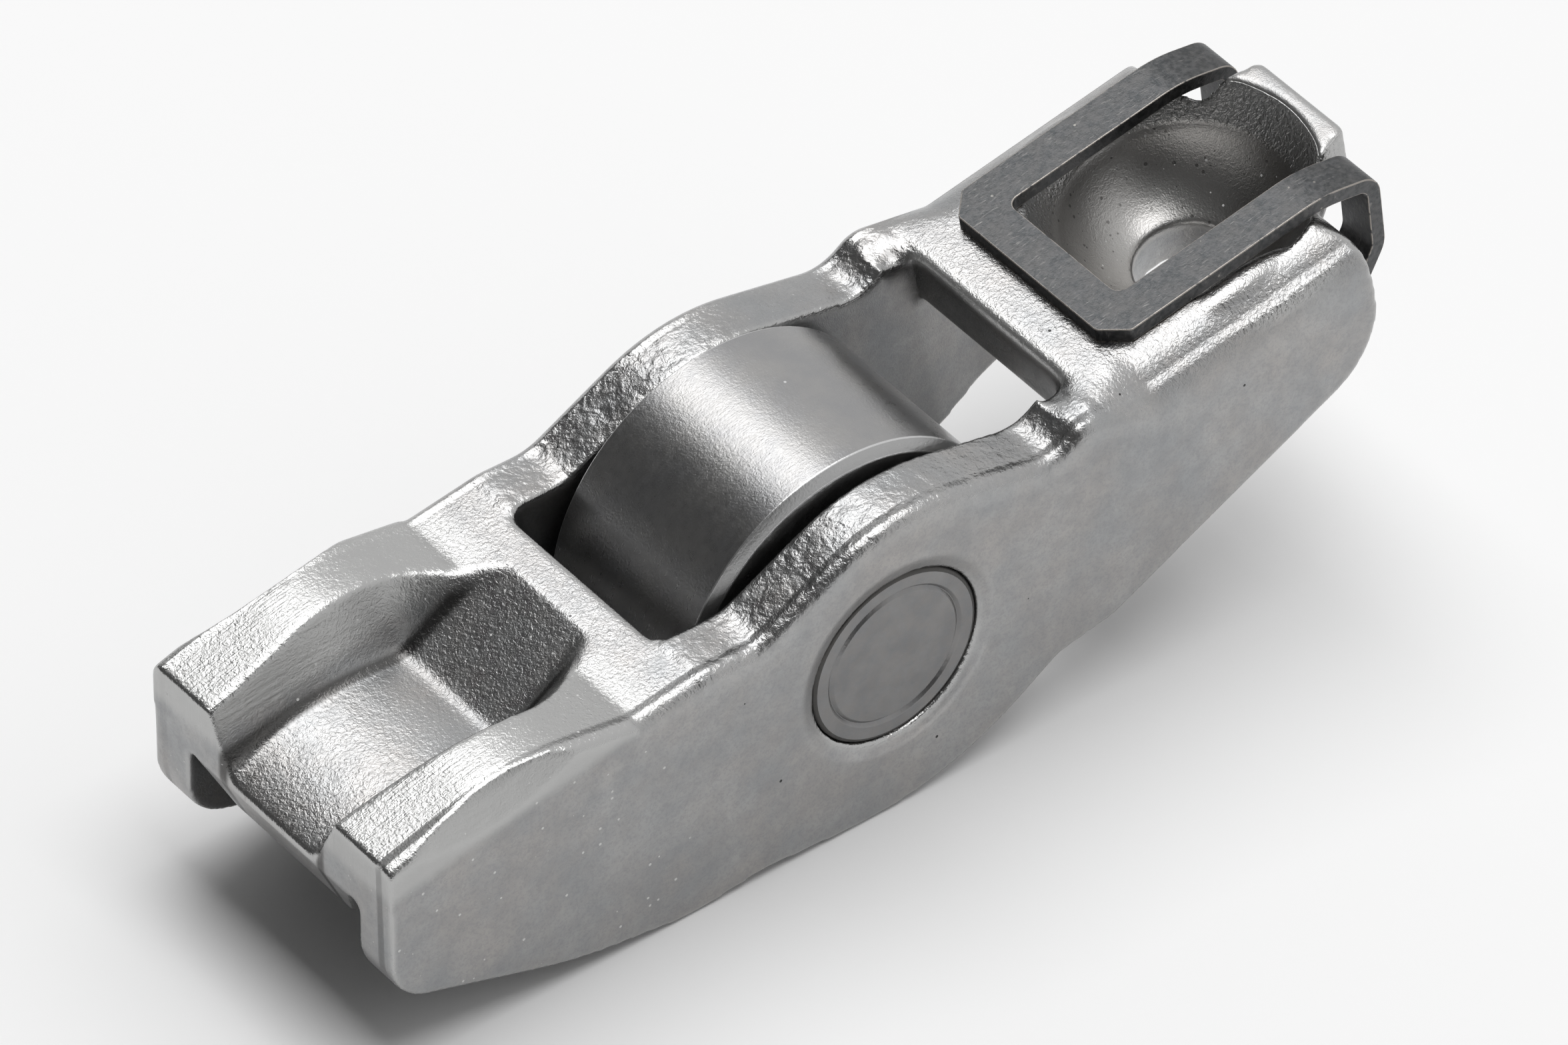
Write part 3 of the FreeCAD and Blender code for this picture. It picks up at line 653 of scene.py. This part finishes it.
# %% Streaks
def make_streaks():
    """Fine lines that run along X or round Y, as grinding and brushing leave them."""
    group, start, end = new_group(
        "streaks", {"Place": None, "Across": 0.06, "Along": 4.0}, {"Lines": "NodeSocketFloat"}
    )
    split = group.nodes.new("ShaderNodeSeparateXYZ")
    group.links.new(start["Place"], split.inputs["Vector"])
    packed = group.nodes.new("ShaderNodeCombineXYZ")
    for axis, size in (("X", "Along"), ("Y", "Across"), ("Z", "Along")):
        stretched = calc(group, "DIVIDE", split.outputs[axis], start[size])
        group.links.new(stretched, packed.inputs[axis])
    lines = noise_on(group, packed.outputs["Vector"], 3.0)
    group.links.new(lines.outputs["Fac"], end["Lines"])
    return group


streaks = make_streaks()

# %% [markdown]
# Dust, pits and small nicks are scattered dots. A Voronoi pattern gives each of its cells a
# random colour, which picks the few cells that hold a dot and sets how large it is.

# %% Specks
SMALLEST_DOT = 0.4


def make_specks():
    """Small scattered dots: the cells of a Voronoi pattern, a few of which hold a dot."""
    group, start, end = new_group(
        "specks", {"Place": None, "Spacing": 0.8, "Dot": 0.12, "Chance": 0.3},
        {"Mask": "NodeSocketFloat"},
    )
    cells = group.nodes.new("ShaderNodeTexVoronoi")
    cells.inputs["Scale"].default_value = 1.0
    vector = in_units(group, start["Place"], start["Spacing"])
    group.links.new(vector, cells.inputs["Vector"])
    pick = group.nodes.new("ShaderNodeSeparateColor")
    group.links.new(cells.outputs["Color"], pick.inputs["Color"])
    chosen = calc(group, "LESS_THAN", pick.outputs["Red"], start["Chance"])
    spread = calc(group, "ADD", pick.outputs["Green"], SMALLEST_DOT)
    reach = calc(group, "MULTIPLY", start["Dot"], spread)
    dot = calc(group, "LESS_THAN", cells.outputs["Distance"], reach)
    group.links.new(calc(group, "MULTIPLY", chosen, dot), end["Mask"])
    return group


specks = make_specks()

# %% [markdown]
# No steel has one even tone: handling, oil and heat leave slow patches. One group gives two sets
# of them, taken far apart in the same noise, so that tone and tint change independently.

# %% Clouds
TINT_SHIFT = 37.0
CLOUD_RANGE = (0.3, 0.7)


def make_clouds():
    """Slow changes of tone, and a second set for tint."""
    group, start, end = new_group(
        "clouds", {"Place": None, "Size": 3.0},
        {"Tone": "NodeSocketFloat", "Tint": "NodeSocketFloat"},
    )
    vector = in_units(group, start["Place"], start["Size"])
    for title, shift in (("Tone", 0.0), ("Tint", TINT_SHIFT)):
        moved = vector_calc(group, "ADD", vector, (shift, shift, shift))
        patches = noise_on(group, moved, 4.0, 0.6)
        group.links.new(fade(group, patches.outputs["Fac"], *CLOUD_RANGE), end[title])
    return group


clouds = make_clouds()

# %% [markdown]
# A rounded edge is rubbed bright, but never evenly. The attribute says where the edge is, and
# noise breaks it up. Cover moves the level above which the noise counts as rubbed.

# %% Worn edges
NOISE_TOP = 0.75
COVER_STEP = 0.5
PATCH_BORDER = 0.08


def make_worn_edge():
    """Where a rounded edge is rubbed bright: all along it, but broken up by noise."""
    group, start, end = new_group(
        "worn_edge", {"Place": None, "Edge": 0.0, "Size": 0.6, "Cover": 0.7},
        {"Mask": "NodeSocketFloat"},
    )
    rough = use(group, relief, Place=start["Place"], Size=start["Size"])["Height"]
    covered = calc(group, "MULTIPLY", start["Cover"], COVER_STEP)
    above = calc(group, "SUBTRACT", rough, calc(group, "SUBTRACT", NOISE_TOP, covered))
    patch = fade(group, above, -PATCH_BORDER, PATCH_BORDER)
    group.links.new(calc(group, "MULTIPLY", patch, start["Edge"]), end["Mask"])
    return group


worn_edge = make_worn_edge()

# %% [markdown]
# A finish is one material. The helpers below start it with a metal shader and the place on the
# arm, turn heights into the shader's normal, coarse relief first, and read what the meshes hold.

# %% Helpers for finishes
def metal(name):
    """A new metal material: its node tree, its shader and the place on the surface."""
    paint = bpy.data.materials.new(name)
    paint.use_nodes = True
    tree = paint.node_tree
    shader = tree.nodes["Principled BSDF"]
    shader.inputs["Metallic"].default_value = 1.0
    return paint, tree, shader, use(tree, arm_place)["Place"]


def bumps(tree, shader, *layers):
    """Chains Bump nodes, each with a height from 0 to 1 and its depth in millimetres."""
    normal = None
    for height, depth in layers:
        bump = tree.nodes.new("ShaderNodeBump")
        bump.inputs["Strength"].default_value = 1.0
        bump.inputs["Distance"].default_value = depth * MM
        tree.links.new(height, bump.inputs["Height"])
        if normal:
            tree.links.new(normal, bump.inputs["Normal"])
        normal = bump.outputs["Normal"]
    tree.links.new(normal, shader.inputs["Normal"])


def attribute(tree, name):
    """A number stored on the mesh."""
    node = tree.nodes.new("ShaderNodeAttribute")
    node.attribute_name = name
    return node.outputs["Fac"]


def split_place(tree, place):
    """The place's X, the distance from the middle plane, and Z, in millimetres."""
    split = tree.nodes.new("ShaderNodeSeparateXYZ")
    tree.links.new(place, split.inputs["Vector"])
    return split.outputs["X"], calc(tree, "ABSOLUTE", split.outputs["Y"]), split.outputs["Z"]


def finish_with(piece, paint):
    """Makes a material the only one on a piece."""
    piece.data.materials.clear()
    piece.data.materials.append(paint)
    print(piece.name, "gets", paint.name)


# %% [markdown]
# The arm is one piece of steel, but its places look different: satin walls, peel-like top faces,
# hammered metal beside the roller, a smooth ball seat, lined tips and rubbed ribs. Some masks
# also place painted light: a painted highlight on faces that look up, on the rib flanks, on the
# cup's slanted rim and on the window's rear edge, and painted shade in creases and corners.
# Painting them by hand would need an image. Here each is a mask made from its place on the arm,
# from soft steps along, across and up. Most pairs below hold the two millimetres at which a step
# is 0 and is 1. RIB_CORNER, ARCH_LENGTH and REAR_EDGE hold the two ends of a stretch instead, and
# FACES_UP and LIP_SLANT tell how far a face looks upwards.

# %% Where things are on the arm
SEAT_CENTRE = (22.1, 0.0, 5.3)
SEAT_RADIUS = (5.85, 5.6)
SEAT_RIM = (3.75, 3.45)
LIP_RADIUS = (8.2, 7.6)
LIP_FOOT = (3.35, 3.6)
LIP_SLANT = (0.98, 0.90)
FACES_UP = (0.15, 0.7)
COIN_RADIUS = (4.35, 5.15)
COIN_SIDE = (7.0, 7.5)
POCKET_START = (-10.6, -11.8)
RIB_CORNER = (3.0, 3.5)
RIB_CORNER_TOP = (6.2, 5.7)
RIB_SIDE = (3.5, 3.9)
RIB_HEIGHT = (5.6, 6.4)
TIP_START = (-16.5, -20.5)
ARCH_SIDE = (4.9, 5.2)
ARCH_LENGTH = (-9.2, 12.0)
ARCH_BORDER = 0.3
TAB_START = (25.9, 26.3)
REAR_EDGE = (11.95, 12.55)
REAR_EDGE_HEIGHT = (4.5, 5.0)
REAR_EDGE_SIDE = (5.2, 4.8)
THIN_BORDER = 0.15
# How much painted shade the hollows may get, less near the seat.
CREASE_SHADE_LIMIT = 0.75


def arm_masks(tree, place):
    """The places on the arm that look different, each as a mask from 0 to 1."""
    along, aside, height = split_place(tree, place)
    surface = tree.nodes.new("ShaderNodeTexCoord")
    facing = tree.nodes.new("ShaderNodeSeparateXYZ")
    tree.links.new(surface.outputs["Normal"], facing.inputs["Vector"])
    on_top = fade(tree, facing.outputs["Z"], *FACES_UP)
    to_seat = vector_calc(tree, "DISTANCE", place, SEAT_CENTRE, "Value")
    beside_axis = vector_calc(tree, "MULTIPLY", place, (1, 0, 1))
    from_pin = vector_calc(tree, "DISTANCE", beside_axis, (0, 0, 0), "Value")
    near_seat = fade(tree, to_seat, *LIP_RADIUS)
    pocket = fade(tree, along, *POCKET_START)
    rib_height = fade(tree, height, *RIB_HEIGHT)
    seat = product(tree, fade(tree, to_seat, *SEAT_RADIUS), fade(tree, height, *SEAT_RIM))
    lip = product(
        tree, near_seat, fade(tree, height, *LIP_FOOT), fade(tree, on_top, *LIP_SLANT)
    )
    coined = product(tree, fade(tree, from_pin, *COIN_RADIUS), fade(tree, aside, *COIN_SIDE))
    corner = product(
        tree, pocket, window(tree, aside, *RIB_CORNER, THIN_BORDER),
        fade(tree, height, *RIB_CORNER_TOP),
    )
    beside_roller = product(
        tree, fade(tree, aside, *ARCH_SIDE), window(tree, along, *ARCH_LENGTH, ARCH_BORDER),
        on_top,
    )
    rear_edge = product(
        tree, window(tree, along, *REAR_EDGE, THIN_BORDER),
        fade(tree, height, *REAR_EDGE_HEIGHT), fade(tree, aside, *REAR_EDGE_SIDE),
    )
    # Painted shade: the hollows that smoothing filled, weaker near the seat, and the rib's corner in the pocket.
    may_be_shaded = calc(tree, "SUBTRACT", CREASE_SHADE_LIMIT, near_seat, clamp=True)
    crease_shade = calc(tree, "MULTIPLY", attribute(tree, "hollow"), may_be_shaded)
    return {
        "on top": on_top,
        "near seat": near_seat,
        "pocket": pocket,
        "seat": seat,
        "lip": lip,
        "coined": coined,
        "beside roller": beside_roller,
        "rear edge": rear_edge,
        "flank": product(tree, pocket, fade(tree, aside, *RIB_SIDE), rib_height),
        "tip": product(tree, fade(tree, along, *TIP_START), rib_height),
        "tab": fade(tree, along, *TAB_START),
        "crease_shade": calc(tree, "MAXIMUM", crease_shade, corner),
    }


# %% [markdown]
# What lies on that steel comes from the shared groups, at the sizes that the photograph shows:
# slow and small clouds, an orange peel of a fifth of a millimetre, a finer grain, the coarse
# dents beside the roller, pits and pale glints.

# %% What lies on the arm's steel
def arm_patterns(tree, place, mask):
    """The patterns that the arm's colour, roughness and relief share."""
    def skin(size, twist):
        return use(tree, relief, Place=place, Size=size, Twist=twist)["Height"]

    def dots(spacing, dot, chance):
        return use(tree, specks, Place=place, Spacing=spacing, Dot=dot, Chance=chance)["Mask"]

    edge = attribute(tree, "edge")
    working_faces = calc(tree, "MAXIMUM", mask["pocket"], mask["seat"])
    other_faces = calc(tree, "SUBTRACT", 1.0, working_faces)
    not_tab = calc(tree, "SUBTRACT", 1.0, mask["tab"])
    return {
        "slow": use(tree, clouds, Place=place, Size=3.5),
        "small": use(tree, clouds, Place=place, Size=0.7),
        "peel": skin(0.19, 0.6),
        "dents": skin(0.9, 0.4),
        "grain": skin(0.07, 0.0),
        "speckle": skin(0.13, 0.8),
        "lines": use(tree, streaks, Place=place, Across=0.10, Along=2.2)["Lines"],
        "pits": product(tree, dots(1.1, 0.06, 0.16), other_faces, not_tab),
        "glints": product(tree, dots(0.50, 0.10, 0.45), working_faces),
        "seat pits": product(tree, dots(0.34, 0.17, 0.5), mask["seat"]),
        "worn": use(tree, worn_edge, Place=place, Edge=edge, Size=0.5, Cover=0.85)["Mask"],
    }


# %% [markdown]
# The colour is built up in layers: plain steel with its clouds first, then what rubbing made paler
# together with painted highlights on the faces that look up, the rib flanks and the cup's slanted
# rim, then painted shade in the creases and corners and a painted highlight on the window's rear
# edge, and the smallest marks last.

# %% The arm's colour
SIDE_DARK = (0.330, 0.338, 0.345, 1)
SIDE_PALE = (0.405, 0.405, 0.404, 1)
SIDE_BROWN = (0.400, 0.360, 0.330, 1)
SIDE_SHADE = (0.262, 0.266, 0.273, 1)
SEAT_STEEL = (0.420, 0.412, 0.402, 1)
RUBBED_AND_SHEEN = (0.46, 0.46, 0.455, 1)
# The colour of the painted shade in creases and corners, and of the seat's pits.
SHADE_AND_PIT_DARK = (0.060, 0.058, 0.056, 1)
PAINTED_REAR_EDGE_HIGHLIGHT = (0.72, 0.72, 0.71, 1)
PIT_DARK = (0.05, 0.05, 0.05, 1)
GLINT_PALE = (0.62, 0.62, 0.61, 1)
SPECKLE_RANGE = (0.47, 0.62)


def arm_colour(tree, mask, pattern):
    """Plain steel, with rubbing, painted highlights, painted shade in the creases, and pits laid over it."""
    return layered(
        tree, blended(tree, pattern["slow"]["Tone"], SIDE_DARK, SIDE_PALE),
        (pattern["slow"]["Tint"], 0.4, SIDE_BROWN),
        (pattern["small"]["Tone"], 0.3, SIDE_SHADE),
        (fade(tree, pattern["speckle"], *SPECKLE_RANGE), 0.35, SIDE_SHADE),
        # Part rubbed steel, part painted highlight: faces that look up and the upper rib flanks are laid paler.
        (mask["on top"], 0.15, RUBBED_AND_SHEEN),
        (mask["flank"], 1.0, RUBBED_AND_SHEEN),
        (mask["seat"], 1.0, SEAT_STEEL),
        (pattern["seat pits"], 0.6, SHADE_AND_PIT_DARK),
        (pattern["worn"], 0.9, RUBBED_AND_SHEEN),
        # Painted highlight: the cup's slanted rim is laid paler.
        (mask["lip"], 0.8, RUBBED_AND_SHEEN),
        # Painted shade in the creases and the pocket's corners.
        (mask["crease_shade"], 0.85, SHADE_AND_PIT_DARK),
        # Painted highlight along the window's upper rear edge.
        (mask["rear edge"], 0.8, PAINTED_REAR_EDGE_HIGHLIGHT),
        (pattern["pits"], 1.0, PIT_DARK),
        (pattern["glints"], 1.0, GLINT_PALE),
    )


# %% [markdown]
# The top faces were rubbed smoother than the walls, and the seat and the tab are satin. The relief
# is chained from coarse to fine, and each layer is held back where the metal is smooth.

# %% The arm's gloss and relief
WALL_ROUGHNESS = 0.33
TOP_ROUGHNESS = 0.24
CLOUD_ROUGHNESS = 0.07
WORN_ROUGHNESS = 0.2
SATIN_ROUGHNESS = 0.33
REAR_EDGE_ROUGHNESS = 0.34
GLINT_ROUGHNESS = 0.7
WALL_PEEL = 0.25
SATIN_PEEL = 0.4


def arm_roughness(tree, mask, pattern):
    """Glossy where the arm was rubbed, satin on its walls, its seat and its tab."""
    satin = calc(tree, "MAXIMUM", mask["seat"], mask["tab"])
    cloudy = calc(tree, "MULTIPLY", pattern["small"]["Tone"], CLOUD_ROUGHNESS)
    rough = between(tree, mask["on top"], WALL_ROUGHNESS, TOP_ROUGHNESS)
    rough = calc(tree, "ADD", rough, cloudy)
    rough = between(tree, pattern["worn"], rough, WORN_ROUGHNESS)
    rough = between(tree, satin, rough, SATIN_ROUGHNESS)
    rough = between(tree, mask["rear edge"], rough, REAR_EDGE_ROUGHNESS)
    return between(tree, pattern["glints"], rough, GLINT_ROUGHNESS)


def arm_relief(tree, mask, pattern):
    """The arm's relief from coarse to fine: heights with their depths in millimetres."""
    satin = calc(tree, "MAXIMUM", mask["seat"], mask["tab"])
    open_faces = calc(tree, "MAXIMUM", mask["on top"], mask["near seat"])
    peel = product(
        tree, pattern["peel"], between(tree, open_faces, WALL_PEEL, 1.0),
        between(tree, satin, 1.0, SATIN_PEEL),
    )
    return (
        (mask["coined"], 0.16),
        (product(tree, pattern["dents"], mask["beside roller"]), 0.10),
        (peel, 0.027),
        (product(tree, pattern["peel"], mask["lip"]), 0.055),
        (product(tree, pattern["lines"], mask["tip"]), 0.022),
        (pattern["grain"], 0.009),
    )


# %% Tumbled steel
def tumbled_steel():
    """The arm's sheet steel: satin sides, a peel-like skin on top, rubbed ribs, a grey seat, painted highlights
    and painted shade.
    """
    paint, tree, shader, place = metal("tumbled_steel")
    mask = arm_masks(tree, place)
    pattern = arm_patterns(tree, place, mask)
    not_glint = calc(tree, "SUBTRACT", 1.0, pattern["glints"])
    put(tree, arm_colour(tree, mask, pattern), shader.inputs["Base Color"])
    put(tree, not_glint, shader.inputs["Metallic"])
    put(tree, arm_roughness(tree, mask, pattern), shader.inputs["Roughness"])
    bumps(tree, shader, *arm_relief(tree, mask, pattern))
    return paint


finish_with(arm, tumbled_steel())

# %% [markdown]
# The roller is hardened and ground. Its gloss comes from lines that run round it, too fine to see
# one by one, so they are streaks in the roughness and a very low relief. The bevels beside its
# face are painted paler as a painted highlight, and its rounded rims get a painted highlight too.

# %% Ground steel
GROUND_DARK = (0.33, 0.33, 0.335, 1)
GROUND_PALE = (0.37, 0.365, 0.36, 1)
GROUND_BEVEL_HIGHLIGHT = (0.42, 0.42, 0.42, 1)
GROUND_RIM_HIGHLIGHT = (0.70, 0.70, 0.70, 1)
GROUND_DOT = (0.75, 0.75, 0.75, 1)
ROLLER_BEVEL_SIDE = (4.28, 4.34)
GROUND_ROUGHNESS = 0.23
GROUND_LINE_ROUGHNESS = 0.09
GROUND_CLOUD_ROUGHNESS = 0.05


def ground_steel():
    """The roller: straight ground, with fine lines round it, and painted highlights on its bevels and rims."""
    paint, tree, shader, place = metal("ground_steel")
    _, aside, _ = split_place(tree, place)
    slow = use(tree, clouds, Place=place, Size=2.5)
    small = use(tree, clouds, Place=place, Size=0.4)
    lines = use(tree, streaks, Place=place, Across=0.05, Along=3.0)["Lines"]
    skin = use(tree, relief, Place=place, Size=0.16, Twist=0.3)["Height"]
    grain = use(tree, relief, Place=place, Size=0.08, Twist=0.0)["Height"]
    dots = use(tree, specks, Place=place, Spacing=2.2, Dot=0.035, Chance=0.3)["Mask"]
    colour = layered(
        tree, blended(tree, slow["Tone"], GROUND_DARK, GROUND_PALE),
        # Painted highlight: the bevels beside the face and the rounded rims are laid paler.
        (fade(tree, aside, *ROLLER_BEVEL_SIDE), 1.0, GROUND_BEVEL_HIGHLIGHT),
        (attribute(tree, "edge"), 0.8, GROUND_RIM_HIGHLIGHT),
        (dots, 1.0, GROUND_DOT),
    )
    put(tree, colour, shader.inputs["Base Color"])
    lined = calc(tree, "MULTIPLY", lines, GROUND_LINE_ROUGHNESS)
    cloudy = calc(tree, "MULTIPLY", small["Tone"], GROUND_CLOUD_ROUGHNESS)
    rough = calc(tree, "ADD", calc(tree, "ADD", GROUND_ROUGHNESS, lined), cloudy)
    put(tree, rough, shader.inputs["Roughness"])
    bumps(tree, shader, (lines, 0.004), (skin, 0.009), (grain, 0.004))
    return paint


finish_with(roller, ground_steel())

# %% [markdown]
# The pin's ends are turned and a little darker than the arm. The wide round at the rim is marked
# as edge, and here that attribute isn't wear but the groove round the pin, where the finish paints shade.

# %% Turned steel
TURNED_DARK = (0.205, 0.208, 0.213, 1)
TURNED_PALE = (0.25, 0.25, 0.25, 1)
TURNED_BROWN = (0.255, 0.236, 0.22, 1)
GROOVE_SHADE = (0.055, 0.053, 0.05, 1)
TURNED_ROUGHNESS = (0.30, 0.38)


def turned_steel():
    """The pin's ends: turned steel with painted shade in the groove where it meets its hole."""
    paint, tree, shader, place = metal("turned_steel")
    slow = use(tree, clouds, Place=place, Size=1.6)
    small = use(tree, clouds, Place=place, Size=0.5)
    grain = use(tree, relief, Place=place, Size=0.09, Twist=0.0)["Height"]
    colour = layered(
        tree, blended(tree, slow["Tone"], TURNED_DARK, TURNED_PALE),
        (small["Tint"], 0.35, TURNED_BROWN),
        # Painted shade in the groove round the pin.
        (attribute(tree, "edge"), 0.9, GROOVE_SHADE),
    )
    put(tree, colour, shader.inputs["Base Color"])
    put(tree, between(tree, slow["Tint"], *TURNED_ROUGHNESS), shader.inputs["Roughness"])
    bumps(tree, shader, (small["Tone"], 0.006), (grain, 0.006))
    return paint


finish_with(pin, turned_steel())

# %% [markdown]
# The clip is spring steel with a dark phosphate coat. Such a coat is mottled and nearly matt, and
# it rubs through to a brownish steel along the edges and in small scuffs.

# %% Dark spring steel
COAT_DARK = (0.062, 0.066, 0.069, 1)
COAT_PALE = (0.124, 0.125, 0.128, 1)
COAT_BROWN = (0.13, 0.124, 0.118, 1)
COAT_SCUFF = (0.22, 0.215, 0.21, 1)
COAT_NICK = (0.30, 0.29, 0.27, 1)
BARE_EDGE = (0.34, 0.315, 0.29, 1)
SCUFF_RANGE = (0.58, 0.72)
COAT_ROUGHNESS = (0.36, 0.48)


def dark_spring_steel():
    """The clip: phosphated dark strip, scuffed lighter and brownish along its edges."""
    paint, tree, shader, place = metal("dark_spring_steel")
    slow = use(tree, clouds, Place=place, Size=1.2)
    small = use(tree, clouds, Place=place, Size=0.25)
    grain = use(tree, relief, Place=place, Size=0.07, Twist=0.2)["Height"]
    nicks = use(tree, specks, Place=place, Spacing=0.5, Dot=0.11, Chance=0.16)["Mask"]
    lines = use(tree, streaks, Place=place, Across=0.09, Along=0.5)["Lines"]
    scuffs = calc(tree, "MULTIPLY", fade(tree, lines, *SCUFF_RANGE), slow["Tone"])
    edge = attribute(tree, "edge")
    bare = use(tree, worn_edge, Place=place, Edge=edge, Size=0.35, Cover=0.75)["Mask"]
    colour = layered(
        tree, blended(tree, small["Tone"], COAT_DARK, COAT_PALE),
        (slow["Tint"], 0.25, COAT_BROWN),
        (scuffs, 0.9, COAT_SCUFF),
        (nicks, 0.8, COAT_NICK),
        (bare, 1.0, BARE_EDGE),
    )
    put(tree, colour, shader.inputs["Base Color"])
    put(tree, between(tree, small["Tone"], *COAT_ROUGHNESS), shader.inputs["Roughness"])
    bumps(tree, shader, (small["Tone"], 0.005), (grain, 0.009))
    return paint


finish_with(clip, dark_spring_steel())

# %% [markdown]
# The needles sit unseen between pin and roller, and show only if the arm is taken apart. They
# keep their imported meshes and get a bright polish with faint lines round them.

# %% Polished needles
POLISH_DARK = (0.50, 0.50, 0.50, 1)
POLISH_PALE = (0.58, 0.58, 0.57, 1)
POLISH_ROUGHNESS = (0.12, 0.2)


def polished_needles():
    """Bearing needles: bright, polished, with faint lines round them."""
    paint, tree, shader, place = metal("polished_needles")
    lines = use(tree, streaks, Place=place, Across=0.05, Along=1.0)["Lines"]
    put(tree, blended(tree, lines, POLISH_DARK, POLISH_PALE), shader.inputs["Base Color"])
    put(tree, between(tree, lines, *POLISH_ROUGHNESS), shader.inputs["Roughness"])
    return paint


needle_finish = polished_needles()
for name, node in frame["nodes"].items():
    if name.startswith("needle"):
        finish_with(node, needle_finish)
